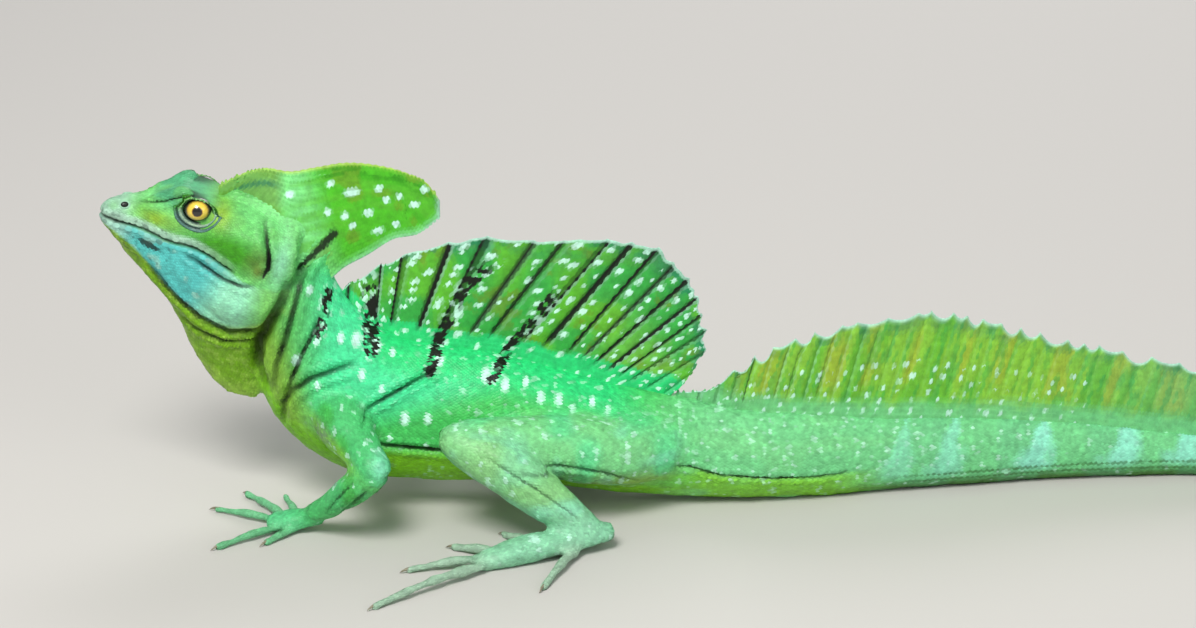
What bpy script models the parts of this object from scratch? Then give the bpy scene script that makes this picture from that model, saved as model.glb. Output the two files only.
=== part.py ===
"""A life-size green basilisk, an adult male, as a still model that stands on a floor.

The animal faces -X with its left side towards -Y, and the floor is z = 0.
Tables below are in millimetres. In them x runs from snout to tail, side is the distance
from the mid-plane towards the animal's left, and z is the height over the floor.
"""

import math

import bmesh
import bpy
import numpy as np

MM = 0.001
GAP = 0.35

# The trunk, neck and tail: back x, back z, belly x, belly z, half width, side
BODY_STATIONS = (
    (-106, 97, -125, 66, 11.6, 0),
    (-103.5, 85, -127, 50, 14.4, 0),
    (-98.5, 74, -125, 36, 16.5, 0),
    (-90, 64.5, -114, 21.5, 18.0, 0),
    (-78, 58.5, -97, 10.8, 18.4, 0),
    (-64, 56, -73, 8.2, 18.4, 0),
    (-48, 53.5, -48, 7.5, 18.5, 0),
    (-28, 48, -28, 6, 17.2, 0),
    (-8, 42, -8, 3, 14.8, 0),
    (12, 37.3, 12, 1.5, 13.0, 0),
    (32, 33, 32, 0.4, 11.3, -0.5),
    (57, 30, 57, -0.6, 9.8, -3),
    (83, 26.6, 83, -0.6, 8.8, -8),
    (113, 24.6, 113, -0.6, 8.0, -13),
    (139, 21.8, 139, -0.6, 7.2, -17),
    (185, 15.8, 185, -0.6, 5.8, -20),
    (250, 11.6, 250, -0.5, 4.4, -17),
    (330, 8.0, 330, -0.4, 3.1, -6),
    (410, 5.2, 410, -0.3, 2.1, 5),
    (480, 3.2, 480, -0.3, 1.4, 8),
    (515, 1.9, 515, -0.3, 0.9, 6),
)
# The lengths of the body, from one station to another, with their sides and rings
BODY_LENGTHS = {
    "neck": (0, 2, 24, 7),
    "torso": (2, 9.2, 24, 21),
    "tail_base": (9.2, 11.6, 20, 8),
    "tail_middle": (11.6, 15, 18, 14),
    "tail_rear": (15, 17, 14, 14),
    "tail_tip": (17, 20, 12, 15),
}
BACK_NARROWING = 0.2

# The head, along its own axis from the snout's tip, which points up and forward
SNOUT_TIP = (-177.6, 104)
HEAD_PITCH = math.radians(14)
HEAD_LENGTH = 66
HEAD_COLUMNS = 23
# Lines along it: the distance behind the snout's tip, and the height or width there
CROWN = ((-0.8, 0.8), (0, 2.4), (3, 5.0), (7, 6.8), (12, 8.5), (18, 12), (23, 14.4), (30, 14.3), (66, 15))
BROW = ((-0.8, 0.6), (0, 1.9), (3, 4.2), (12, 8.4), (18, 12.8), (23, 15.8), (30, 15.3), (38, 14), (66, 12.5))
BROW_WIDTH = ((-0.8, 0.4), (0, 1.6), (3, 3.2), (12, 4.8), (18, 7), (24, 9.2), (30, 9.8), (66, 6.5))
CHEEK = ((-0.8, 0), (3, 1.8), (12, 3.8), (24, 7.0), (30, 8.2), (43, 6.0), (66, 1.0))
CHEEK_WIDTH = ((-0.8, 0.8), (0, 2.6), (3, 4.8), (12, 7.5), (24, 11.0), (30, 12.6), (57, 16.3), (66, 15.6))
MOUTH = ((-0.8, -1.0), (3, -1.2), (12, -0.7), (24, -2.2), (33, -1.9), (43, -4.7), (50, -7.6), (66, -8))
MOUTH_WIDTH = ((-0.8, 0.7), (0, 2.4), (3, 4.3), (12, 7.0), (24, 9.8), (36, 12.1), (50, 14.9), (66, 15.3))
JAW = ((-0.8, -1.6), (0, -2.4), (3, -4.2), (12, -7.5), (24, -10.5), (36, -15), (50, -18), (66, -13.5))
JAW_WIDTH = ((-0.8, 0.5), (0, 1.8), (3, 3.8), (12, 6.8), (24, 10.0), (36, 13.0), (52, 15.8), (66, 13.6))
CHIN = ((-0.8, -2.2), (0, -3.4), (4, -7.2), (12, -13.2), (20, -16.8), (36, -23.5), (50, -29), (66, -21))
MOUTH_CORNER = 48
LIP_GROOVE = 0.9
EYE_PLACE = (29.7, 12.0)
EYE_SIDE = 9.4
EYE_RADIUS = 5.0
LID_WIDTH = 0.95
NOSTRIL_PLACE = (7.0, 5.6)
NOSTRIL_SIDE = 4.6
NOSTRIL_RADIUS = 0.8
EAR_PLACE = (53.5, -1.5)
EAR_SIDE = 16.6
EAR_CUP = (4.2, 5.2, 2.0)

# Slices of the throat pouch, parallel to the head's axis: height, front, rear, half width
POUCH_SLICES = (
    (-11, 7, 56, 8.5),
    (-17, 16, 61, 11.0),
    (-24, 25.5, 64.5, 11.3),
    (-32, 32.5, 65.5, 9.3),
    (-40, 38.2, 65, 6.4),
    (-47, 44.4, 65.5, 4.2),
    (-51.5, 49.3, 65.5, 2.6),
    (-54, 53.8, 63, 1.3),
)

# The head crest: x and height of its upper and lower edge, and its half thickness
CASQUE_TOP = (
    (-139, 112.2),
    (-132, 116),
    (-124, 118.3),
    (-115, 117.2),
    (-107, 118.6),
    (-97, 120.2),
    (-87, 119.4),
    (-77, 116.6),
    (-70, 112.6),
    (-66.2, 107),
)
CASQUE_LOW = (
    (-139, 107),
    (-127, 102),
    (-119, 88),
    (-112, 78),
    (-106, 77.8),
    (-98, 84),
    (-90, 88.4),
    (-82, 93.5),
    (-73, 95.8),
    (-66.2, 101.4),
)
CASQUE_HALF = ((-139, 0.9), (-127, 1.4), (-117, 6.5), (-110, 6.2), (-102, 4.2), (-92, 2.6), (-66.2, 1.0))
CASQUE_COLUMNS = 31

# The back crest: x of each ray's root, and x and height of its tip
SAIL_RAYS = (
    (-101, -101, 74),
    (-87, -84, 84.5),
    (-75, -60, 93),
    (-61, -34, 93.5),
    (-46, -11, 94),
    (-31, 5, 90.5),
    (-22, 16, 79.5),
    (-14, 21, 69),
    (-5, 22.5, 56),
    (8, 16.5, 43.5),
)
SAIL_RAY_COUNT = 17
SAIL_EDGE_TEETH = 1.6

# The tail crest: x and height of its edge over the tail's back
TAIL_CREST = (
    (12, 0.8),
    (22, 5),
    (29, 14),
    (40, 23),
    (55, 29.5),
    (78, 35),
    (88, 37.2),
    (108, 33.8),
    (139, 28),
    (168, 24.8),
    (185, 23),
    (230, 17),
    (280, 9.5),
    (335, 2),
)
TAIL_CREST_LENGTHS = {
    "tail_crest_front": (12, 106),
    "tail_crest_middle": (106, 205),
    "tail_crest_rear": (205, 335),
}
TAIL_RAY_SPACING = 9.6
TAIL_RAY_LEAN = 0.28
TAIL_EDGE_TEETH = 2.0
MEMBRANE_HALF = 0.4
RAY_HALF = 0.95
CREST_ROOT_HALF = 2.8
CREST_ROOT_SINK = 3.0

# The limbs: x, side, z and radius along each
LEFT_UPPER_ARM = ((-102, 8, 38, 9.5), (-99, 19, 35.5, 9.2), (-92, 32, 31, 7.0), (-87, 42, 27.6, 5.8))
LEFT_FOREARM = ((-87, 42, 27.2, 5.6), (-93, 39, 21.5, 5.5), (-103.5, 32.5, 11, 4.2), (-110, 28.5, 5.6, 3.6))
RIGHT_UPPER_ARM = ((-99, -8, 38, 9.5), (-93, -19, 36, 9.2), (-79, -28, 34, 7.0), (-69, -34, 33, 5.8))
RIGHT_FOREARM = ((-69, -34, 32.5, 5.6), (-72, -38, 25, 5.5), (-76, -43.5, 12, 4.2), (-78, -46, 5.8, 3.6))
LEFT_THIGH = ((6, 6, 21, 11.5), (-8, 14, 23, 11.8), (-34, 24, 29, 10.4), (-60, 33, 34.4, 7.6))
LEFT_SHANK = ((-60, 33, 34.4, 7.5), (-46.5, 36.8, 28.2, 9.0), (-29, 40.6, 15.6, 7.3), (-16, 42.5, 6.6, 4.7))
RIGHT_THIGH = ((6, -6, 21, 11.5), (-6, -16, 23, 11.8), (-22, -38, 27, 10.4), (-38, -60, 29.5, 7.6))
RIGHT_SHANK = ((-38, -60, 29.5, 7.5), (-24, -57.3, 24.4, 9.0), (0, -49.4, 14.4, 7.3), (15, -44, 6.6, 4.7))

# Each hand and foot: where it starts, and how far it turns outwards
PAWS = {
    "left_hand": (-110, 28.5, -12, 1),
    "right_hand": (-78, -46, 60, -1),
    "left_foot": (-16, 42.5, 23.6, 1),
    "right_foot": (15, -44, 40, -1),
}
# Digits in the paw's own directions: root ahead, root outwards, tip ahead, tip outwards
HAND_DIGITS = (
    (4, -3.2, 14.5, -22.5),
    (8, -3.6, 28, -22.5),
    (10, -1.2, 34.5, -8.4),
    (9, 2.4, 25.5, 20),
    (4.5, 3.4, 11, 13.5),
)
FOOT_DIGITS = (
    (18, -6, 23, -20),
    (31, -5, 42, -17.5),
    (36, -2, 62, -7),
    (37, 2, 82, 14),
    (8, 4, 27, 22.5),
)
HAND_PALM = ((-3, 0, 5.2, 3.7), (5, 0, 4.0, 5.0), (11, 0, 2.6, 4.6))
FOOT_SOLE = ((-3.5, 0, 5.6, 4.9), (8, 0.2, 5.0, 5.2), (24, -1.2, 3.8, 6.2), (38, -0.6, 2.5, 4.8))
PALM_FLATTENING = 0.72
FINGER_RADIUS = (1.7, 1.15)
TOE_RADIUS = (2.1, 1.2)
CLAW_LENGTH = 4.2
END_ROUNDING = 0.8


def curve(rows, at):
    """Values read at the places asked for, off a smooth curve through rows of (place, values)."""
    rows = np.array(rows, dtype=float)
    places = rows[:, 0]
    values = rows[:, 1:]
    slopes = np.gradient(values, places, axis=0)
    at = np.clip(np.atleast_1d(np.asarray(at, dtype=float)), places[0], places[-1])
    start = np.clip(np.searchsorted(places, at, side="right") - 1, 0, len(places) - 2)
    span = (places[start + 1] - places[start])[:, None]
    part = (at - places[start])[:, None] / span
    result = (2 * part**3 - 3 * part**2 + 1) * values[start]
    result += (part**3 - 2 * part**2 + part) * span * slopes[start]
    result += (3 * part**2 - 2 * part**3) * values[start + 1]
    result += (part**3 - part**2) * span * slopes[start + 1]
    return result[:, 0] if values.shape[1] == 1 else result


def world(points):
    """Points given as x, side and z in millimetres, as metres in the model's frame."""
    points = np.array(points, dtype=float)
    return np.stack([points[..., 0], -points[..., 1], points[..., 2]], axis=-1) * MM


def skin_material(name, colour, roughness):
    """A plain finish for one kind of skin."""
    material = bpy.data.materials.new(name)
    material.use_nodes = True
    shader = material.node_tree.nodes["Principled BSDF"]
    shader.inputs["Base Color"].default_value = (*colour, 1)
    shader.inputs["Roughness"].default_value = roughness
    shader.inputs["Metallic"].default_value = 0
    return material


def make_object(name, points, faces, material=None):
    """A mesh object from points in metres, with its faces turned outwards."""
    mesh = bpy.data.meshes.new(name)
    mesh.from_pydata([tuple(point) for point in points], [], faces)
    shape = bmesh.new()
    shape.from_mesh(mesh)
    bmesh.ops.recalc_face_normals(shape, faces=shape.faces)
    if shape.calc_volume(signed=True) < 0:
        bmesh.ops.reverse_faces(shape, faces=shape.faces)
    shape.to_mesh(mesh)
    shape.free()
    if material:
        mesh.materials.append(material)
    thing = bpy.data.objects.new(name, mesh)
    bpy.context.scene.collection.objects.link(thing)
    return thing


def loft(name, rings, material=None):
    """A closed solid through rings of points, with a fan of triangles at each end."""
    rings = np.array(rings)
    count, sides = rings.shape[:2]
    points = list(rings.reshape(-1, 3))
    faces = []
    for ring in range(count - 1):
        for side in range(sides):
            after = (side + 1) % sides
            low = ring * sides
            faces.append((low + side, low + after, low + sides + after, low + sides + side))
    for ring in (0, count - 1):
        points.append(rings[ring].mean(axis=0))
        for side in range(sides):
            after = (side + 1) % sides
            faces.append((ring * sides + side, ring * sides + after, len(points) - 1))
    return make_object(name, points, faces, material)


def sheet(name, middle, half, material=None):
    """A thin solid: a grid of points with its half thickness to either side.

    Both faces are split into triangles along the same diagonals.
    """
    rows, columns = half.shape
    left = middle.copy()
    left[..., 1] -= half
    right = middle.copy()
    right[..., 1] += half
    points = np.concatenate([left.reshape(-1, 3), right.reshape(-1, 3)])
    other = rows * columns
    faces = []
    for row in range(rows - 1):
        for column in range(columns - 1):
            a = row * columns + column
            b, c, d = a + 1, a + columns + 1, a + columns
            faces += [(a, b, c), (a, c, d)]
            faces += [(a + other, c + other, b + other), (a + other, d + other, c + other)]
    rim = [column for column in range(columns)]
    rim += [row * columns + columns - 1 for row in range(1, rows)]
    rim += [(rows - 1) * columns + column for column in range(columns - 2, -1, -1)]
    rim += [row * columns for row in range(rows - 2, 0, -1)]
    for here, after in zip(rim, rim[1:] + rim[:1]):
        faces += [(here, here + other, after), (after, here + other, after + other)]
    return make_object(name, points, faces, material)


def ball(name, centre, radii, segments=20, rings=12, turn=0.0, material=None):
    """An ellipsoid at a point in the model's frame, turned about the Y axis."""
    heights = np.linspace(0, math.pi, rings + 1)[1:-1]
    angles = np.linspace(0, 2 * math.pi, segments, endpoint=False)
    loops = []
    for height in heights:
        loops.append(
            np.stack(
                [
                    radii[0] * math.sin(height) * np.cos(angles),
                    np.full(segments, radii[2] * math.cos(height)),
                    radii[1] * math.sin(height) * np.sin(angles),
                ],
                axis=-1,
            )
        )
    loops = np.array(loops)
    poles = np.array([(0, radii[2], 0), (0, -radii[2], 0)])
    points = np.concatenate([loops.reshape(-1, 3), poles])
    turned = points.copy()
    turned[:, 0] = points[:, 0] * math.cos(turn) + points[:, 2] * math.sin(turn)
    turned[:, 2] = points[:, 2] * math.cos(turn) - points[:, 0] * math.sin(turn)
    faces = []
    for ring in range(len(heights) - 1):
        for side in range(segments):
            after = (side + 1) % segments
            low = ring * segments
            faces.append((low + side, low + after, low + segments + after, low + segments + side))
    last = (len(heights) - 1) * segments
    for side in range(segments):
        after = (side + 1) % segments
        faces.append((side, after, len(points) - 2))
        faces.append((last + side, last + after, len(points) - 1))
    return make_object(name, turned * MM + np.array(centre), faces, material)


def combine(target, operands, operation, solver="MANIFOLD"):
    """Join other objects to the target or cut them from it, apply that and remove them."""
    group = bpy.data.collections.new("operands")
    bpy.context.scene.collection.children.link(group)
    for operand in operands:
        group.objects.link(operand)
    modifier = target.modifiers.new("combine", "BOOLEAN")
    modifier.operand_type = "COLLECTION"
    modifier.collection = group
    modifier.operation = operation
    modifier.solver = solver
    bpy.context.view_layer.update()
    evaluated = target.evaluated_get(bpy.context.evaluated_depsgraph_get())
    mesh = bpy.data.meshes.new_from_object(evaluated)
    target.modifiers.clear()
    old = target.data
    target.data = mesh
    mesh.name = target.name
    bpy.data.meshes.remove(old)
    for operand in operands:
        bpy.data.objects.remove(operand)
    bpy.data.collections.remove(group)
    keep_largest(target)
    return target


def keep_largest(thing):
    """Leave only the closed surface that holds the most."""
    shape = bmesh.new()
    shape.from_mesh(thing.data)
    left = set(shape.verts)
    pieces = []
    while left:
        piece = set()
        front = [left.pop()]
        while front:
            vertex = front.pop()
            piece.add(vertex)
            for edge in vertex.link_edges:
                other = edge.other_vert(vertex)
                if other in left:
                    left.discard(other)
                    front.append(other)
        pieces.append(piece)

    def held(piece):
        total = 0.0
        for face in {face for vertex in piece for face in vertex.link_faces}:
            corners = [vertex.co for vertex in face.verts]
            for second, third in zip(corners[1:], corners[2:]):
                total += corners[0].dot(second.cross(third))
        return abs(total)

    pieces.sort(key=held)
    loose = [vertex for piece in pieces[:-1] for vertex in piece]
    bmesh.ops.delete(shape, geom=loose, context="VERTS")
    shape.to_mesh(thing.data)
    shape.free()


def grown(thing, by=GAP):
    """A copy of an object whose surface stands further out all round."""
    copy = thing.copy()
    copy.data = thing.data.copy()
    copy.name = thing.name + "_grown"
    bpy.context.scene.collection.objects.link(copy)
    count = len(copy.data.vertices)
    points = np.empty(count * 3)
    normals = np.empty(count * 3)
    copy.data.vertices.foreach_get("co", points)
    copy.data.vertex_normals.foreach_get("vector", normals)
    copy.data.vertices.foreach_set("co", points + normals * by * MM)
    copy.data.update()
    return copy


def cut_clear(thing, neighbours):
    """Cut an object back from its neighbours, so that a thin gap stays between them."""
    return combine(thing, [grown(neighbour) for neighbour in neighbours], "DIFFERENCE")


def floor_block():
    """All that lies below the floor, for cutting flats at its level."""
    corners = [(x, y, z) for x in (-0.3, 0.7) for y in (-0.3, 0.3) for z in (-0.05, 0.0)]
    faces = [(0, 1, 3, 2), (4, 6, 7, 5), (0, 4, 5, 1), (2, 3, 7, 6), (0, 2, 6, 4), (1, 5, 7, 3)]
    return make_object("below_floor", corners, faces)


def body_places():
    """How far along the body each station stands."""
    rows = np.array(BODY_STATIONS, dtype=float)
    centres = np.stack([(rows[:, 0] + rows[:, 2]) / 2, (rows[:, 1] + rows[:, 3]) / 2], axis=-1)
    steps = np.linalg.norm(np.diff(centres, axis=0), axis=1)
    return np.concatenate([[0.0], np.cumsum(steps)])


def body_rings(start, end, sides, count):
    """Rings across the body between two places along it."""
    places = body_places()
    table = np.column_stack([places, np.array(BODY_STATIONS, dtype=float)])
    rings = []
    for back_x, back_z, belly_x, belly_z, half, side in curve(table, np.linspace(start, end, count)):
        angles = np.linspace(0, 2 * math.pi, sides, endpoint=False)
        up = np.cos(angles)
        across = np.sin(angles) * (1 - BACK_NARROWING * up)
        x = (back_x + belly_x) / 2 + up * (back_x - belly_x) / 2
        z = (back_z + belly_z) / 2 + up * (back_z - belly_z) / 2
        rings.append(np.stack([x, side + half * across, z], axis=-1))
    return world(rings)


def make_body(skin):
    """The neck, the torso and the tail's lengths, parted by thin gaps."""
    places = body_places()
    nodes = {}
    for name, (first, last, sides, count) in BODY_LENGTHS.items():
        ends = np.interp((first, last), np.arange(len(places)), places)
        start = ends[0] + (GAP / 2 if first else 0)
        end = ends[1] - (GAP / 2 if last < len(places) - 1 else 0)
        nodes[name] = loft(name, body_rings(start, end, sides, count), skin)
        if name.startswith("tail"):
            combine(nodes[name], [floor_block()], "DIFFERENCE")
    return nodes


def head_point(ahead, up, side):
    """A point of the head, from its own axis to metres in the model's frame."""
    ahead, up, side = np.broadcast_arrays(ahead, up, side)
    x = SNOUT_TIP[0] + ahead * math.cos(HEAD_PITCH) + up * math.sin(HEAD_PITCH)
    z = SNOUT_TIP[1] - ahead * math.sin(HEAD_PITCH) + up * math.cos(HEAD_PITCH)
    return world(np.stack([x, side, z], axis=-1))


def head_half_section(ahead):
    """One side of the head's outline at a place along it, from crown to chin, as (side, up)."""
    crown, brow_width, brow = curve(CROWN, ahead)[0], curve(BROW_WIDTH, ahead)[0], curve(BROW, ahead)[0]
    cheek_width, cheek = curve(CHEEK_WIDTH, ahead)[0], curve(CHEEK, ahead)[0]
    mouth_width, mouth = curve(MOUTH_WIDTH, ahead)[0], curve(MOUTH, ahead)[0]
    jaw_width, jaw, chin = curve(JAW_WIDTH, ahead)[0], curve(JAW, ahead)[0], curve(CHIN, ahead)[0]
    size = min(1.0, max(0.05, (ahead + 0.8) / 6))
    closing = min(1.0, max(0.0, (MOUTH_CORNER - ahead) / 4))
    groove = LIP_GROOVE * size * closing
    lip = 2.0 * size
    ending = 1 - 0.16 * max(0.0, (ahead - HEAD_LENGTH + 5) / 5) ** 2
    brow_width, cheek_width, mouth_width, jaw_width = (
        width * ending for width in (brow_width, cheek_width, mouth_width, jaw_width)
    )
    return np.array(
        [
            (0, crown),
            (brow_width * 0.5, crown * 0.65 + brow * 0.35),
            (brow_width * 0.85, brow - 0.1 * size),
            (brow_width, brow - 0.5 * size),
            (brow_width * 0.45 + cheek_width * 0.55, brow * 0.62 + cheek * 0.38),
            (cheek_width * 0.97, brow * 0.25 + cheek * 0.75),
            (cheek_width, cheek * 0.8 + mouth * 0.2),
            (cheek_width * 0.6 + mouth_width * 0.4, cheek * 0.4 + mouth * 0.6),
            (mouth_width + 0.25 * groove, mouth + lip),
            (mouth_width, mouth + 0.45 * groove + 0.02),
            (mouth_width - groove, mouth),
            (mouth_width - 0.35 * groove, mouth - 0.45 * groove - 0.02),
            (mouth_width * 0.85 + jaw_width * 0.15, mouth - lip * min(1.0, (mouth - jaw) / 3.5)),
            (jaw_width * 0.75 + mouth_width * 0.25, jaw * 0.62 + mouth * 0.38),
            (jaw_width, jaw),
            (jaw_width * 0.86, jaw * 0.55 + chin * 0.45),
            (jaw_width * 0.6, jaw * 0.22 + chin * 0.78),
            (jaw_width * 0.3, jaw * 0.06 + chin * 0.94),
            (0, chin),
        ]
    )


def lid_ring(name, side):
    """A raised rim round one eye, as a ring of lids."""
    rounds, sides = 18, 6
    rings = []
    for turn in np.linspace(0, 2 * math.pi, rounds, endpoint=False):
        reach = EYE_RADIUS * (0.92 + 0.08 * abs(math.cos(turn)))
        rise = EYE_RADIUS * (0.80 + 0.04 * abs(math.cos(turn)))
        loop = []
        for angle in np.linspace(0, 2 * math.pi, sides, endpoint=False):
            out = 1 + LID_WIDTH * math.cos(angle) / EYE_RADIUS
            ahead = EYE_PLACE[0] + reach * out * math.cos(turn)
            up = EYE_PLACE[1] + rise * out * math.sin(turn)
            away = EYE_SIDE + 2.4 - 0.06 * (up - EYE_PLACE[1]) ** 2 + LID_WIDTH * math.sin(angle)
            loop.append(head_point(ahead, up, side * away))
        rings.append(loop)
    points = np.array(rings).reshape(-1, 3)
    faces = []
    for ring in range(rounds):
        here = ring * sides
        following = (ring + 1) % rounds * sides
        for spot in range(sides):
            after = (spot + 1) % sides
            faces.append((here + spot, here + after, following + after, following + spot))
    return make_object(name, points, faces)


def make_head(skin, eye_finish):
    """The head with its brows, lids, lips, nostrils and ear cups, and its two eyes."""
    places = np.concatenate([[-0.8, -0.3, 0.6], np.linspace(2, HEAD_LENGTH, HEAD_COLUMNS)])
    rings = []
    for ahead in places:
        half = head_half_section(ahead)
        left = head_point(ahead, half[:, 1], half[:, 0])
        right = head_point(ahead, half[-2:0:-1, 1], -half[-2:0:-1, 0])
        rings.append(np.concatenate([left, right]))
    head = loft("head", rings, skin)
    nodes = {"head": head}
    raised, cuts = [], []
    for name, side in (("left", 1), ("right", -1)):
        raised.append(lid_ring("lids_" + name, side))
        eye_centre = head_point(*EYE_PLACE, side * EYE_SIDE)
        radii = (EYE_RADIUS, EYE_RADIUS, EYE_RADIUS)
        nodes["eye_" + name] = ball("eye_" + name, eye_centre, radii, 16, 8, material=eye_finish)
        nostril_centre = head_point(*NOSTRIL_PLACE, side * NOSTRIL_SIDE)
        rim = [NOSTRIL_RADIUS * 2.1] * 2 + [NOSTRIL_RADIUS * 1.6]
        raised.append(ball("nostril_rim_" + name, nostril_centre, rim, 12, 6))
        hole_centre = head_point(*NOSTRIL_PLACE, side * (NOSTRIL_SIDE + 1.2 * NOSTRIL_RADIUS))
        cuts.append(ball("nostril_" + name, hole_centre, [NOSTRIL_RADIUS] * 3, 10, 6))
        ear_centre = head_point(*EAR_PLACE, side * EAR_SIDE)
        cuts.append(ball("ear_" + name, ear_centre, EAR_CUP, 16, 8, turn=HEAD_PITCH))
    combine(head, raised, "UNION")
    cuts += [grown(nodes["eye_left"]), grown(nodes["eye_right"])]
    combine(head, cuts, "DIFFERENCE")
    return nodes


def make_pouch(skin, neighbours):
    """The loose skin that hangs under the jaw and throat."""
    angles = np.linspace(0, 2 * math.pi, 16, endpoint=False)
    heights = np.linspace(POUCH_SLICES[0][0], POUCH_SLICES[-1][0], 10)
    rings = []
    for up, (front, rear, half) in zip(heights, curve(POUCH_SLICES[::-1], heights)):
        ahead = (front + rear) / 2 - np.cos(angles) * (rear - front) / 2
        rings.append(head_point(ahead, np.full_like(ahead, up), np.sin(angles) * half))
    return cut_clear(loft("throat_pouch", rings, skin), neighbours)


def make_casque(skin, neighbours):
    """The head's crest: a low lobe on the crown and the tall flap behind it."""
    along = np.linspace(CASQUE_TOP[0][0], CASQUE_TOP[-1][0], CASQUE_COLUMNS)
    teeth = 0.5 * np.abs(np.sin(np.arange(CASQUE_COLUMNS) * math.pi / 2))
    top = curve(CASQUE_TOP, along) - teeth
    low = curve(CASQUE_LOW, along)
    half = curve(CASQUE_HALF, along)
    shares = np.linspace(0, 1, 6)
    middle = np.zeros((len(shares), CASQUE_COLUMNS, 3))
    thickness = np.zeros((len(shares), CASQUE_COLUMNS))
    for row, share in enumerate(shares):
        middle[row] = world(np.stack([along, np.zeros_like(along), low + (top - low) * share], axis=-1))
        swell = max(0.0, 1 - abs(share - 0.38) ** 1.6 / 0.45)
        thickness[row] = (0.45 + (half - 0.45) * swell) * MM
    return cut_clear(sheet("casque", middle, thickness, skin), neighbours)


def back_line(x):
    """Height and side of the body's back at places along it."""
    rows = np.array(BODY_STATIONS, dtype=float)
    return curve(np.column_stack([rows[:, 0], rows[:, 1], rows[:, 5]]), x)


def ray_ridges(columns, per_ray, share):
    """How far each column of a crest's membrane is swollen by a ray, from 0 to 1."""
    phase = (np.arange(columns) % per_ray) / per_ray
    return np.cos(phase * math.pi) ** 4 * (1 - 0.35 * share)


def make_sail(skin, neighbours):
    """The crest along the back, with its rays raised in the membrane."""
    per_ray = 3
    columns = SAIL_RAY_COUNT * per_ray + 1
    rays = np.array(SAIL_RAYS, dtype=float)
    table = np.column_stack([np.arange(len(rays)), rays])
    root_x, tip_x, tip_z = curve(table, np.linspace(0, len(rays) - 1, columns)).T
    root_z = back_line(root_x)[:, 0] - CREST_ROOT_SINK
    shares = np.array([0, 0.14, 0.3, 0.65, 1.0])
    middle = np.zeros((len(shares), columns, 3))
    half = np.zeros((len(shares), columns))
    tooth = SAIL_EDGE_TEETH * (1 - ray_ridges(columns, per_ray, 0))
    for row, share in enumerate(shares):
        reach = share * (1 - tooth / np.maximum(6, tip_z - root_z) * (share == 1))
        x = root_x + (tip_x - root_x) * reach
        z = root_z + (tip_z - root_z) * reach
        sway = 1.6 * share * np.sin(root_x * 0.09)
        middle[row] = world(np.stack([x, sway, z], axis=-1))
        ridge = ray_ridges(columns, per_ray, share)
        root = max(0.0, 1 - share / 0.25) ** 1.5
        half[row] = MEMBRANE_HALF + (RAY_HALF - MEMBRANE_HALF) * ridge + (CREST_ROOT_HALF - RAY_HALF) * root
    return cut_clear(sheet("back_crest", middle, half * MM, skin), neighbours)


def make_tail_crests(skin, neighbours):
    """The crest along the tail, in lengths that follow its bends."""
    nodes = {}
    per_ray = 2
    for name, (first, last) in TAIL_CREST_LENGTHS.items():
        columns = int(round((last - first) / TAIL_RAY_SPACING)) * per_ray + 1
        root_x = np.linspace(first + (GAP if first > TAIL_CREST[0][0] else 0), last, columns)
        root_z, side = back_line(root_x).T
        height = curve(TAIL_CREST, root_x)
        shares = np.array([0, 0.2, 0.55, 1.0])
        tooth = TAIL_EDGE_TEETH * (1 - ray_ridges(columns, per_ray, 0))
        middle = np.zeros((len(shares), columns, 3))
        half = np.zeros((len(shares), columns))
        for row, share in enumerate(shares):
            rise = share * height - (tooth * np.minimum(1, height / 12) if share == 1 else 0)
            z = root_z - CREST_ROOT_SINK * (1 - share) + rise
            x = root_x + TAIL_RAY_LEAN * share * height
            middle[row] = world(np.stack([x, np.interp(x, root_x, side), z], axis=-1))
            ridge = ray_ridges(columns, per_ray, share)
            root = max(0.0, 1 - share / 0.35) ** 1.5
            wide = np.minimum(CREST_ROOT_HALF, 0.4 * root_z / 2) - RAY_HALF
            half[row] = MEMBRANE_HALF + (RAY_HALF - MEMBRANE_HALF) * ridge + np.maximum(0, wide) * root
        nodes[name] = cut_clear(sheet(name, middle, half * MM, skin), neighbours)
    return nodes


def tube_rings(rows, count, sides, flattening=1.0, round_ends=True):
    """Rings along a smooth tube through rows of (x, side, z, radius), with rounded ends."""
    rows = np.array(rows, dtype=float)
    steps = np.linalg.norm(np.diff(rows[:, :3], axis=0), axis=1)
    places = np.concatenate([[0.0], np.cumsum(steps)])
    samples = np.linspace(0, places[-1], count)
    read = curve(np.column_stack([places, rows]), samples)
    centres, radii = read[:, :3], read[:, 3]
    tangents = np.gradient(centres, samples, axis=0)
    tangents /= np.linalg.norm(tangents, axis=1)[:, None]
    if round_ends:
        before = centres[0] - tangents[0] * radii[0] * END_ROUNDING
        after = centres[-1] + tangents[-1] * radii[-1] * END_ROUNDING
        size = math.sqrt(1 - END_ROUNDING**2)
        centres = np.concatenate([[before], centres, [after]])
        radii = np.concatenate([radii[:1] * size, radii, radii[-1:] * size])
        tangents = np.concatenate([tangents[:1], tangents, tangents[-1:]])
    angles = np.linspace(0, 2 * math.pi, sides, endpoint=False)
    rings = []
    for centre, radius, tangent in zip(centres, radii, tangents):
        across = np.cross(tangent, (0.0, 0.0, 1.0))
        across /= np.linalg.norm(across)
        up = np.cross(across, tangent)
        ring = np.outer(np.cos(angles), up) * flattening + np.outer(np.sin(angles), across)
        rings.append(centre + ring * radius)
    return world(rings)


def limb(name, rows, skin, neighbours, count=9, sides=12):
    """One length of a leg, cut clear of what it grows from."""
    return cut_clear(loft(name, tube_rings(rows, count, sides), skin), neighbours)


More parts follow.
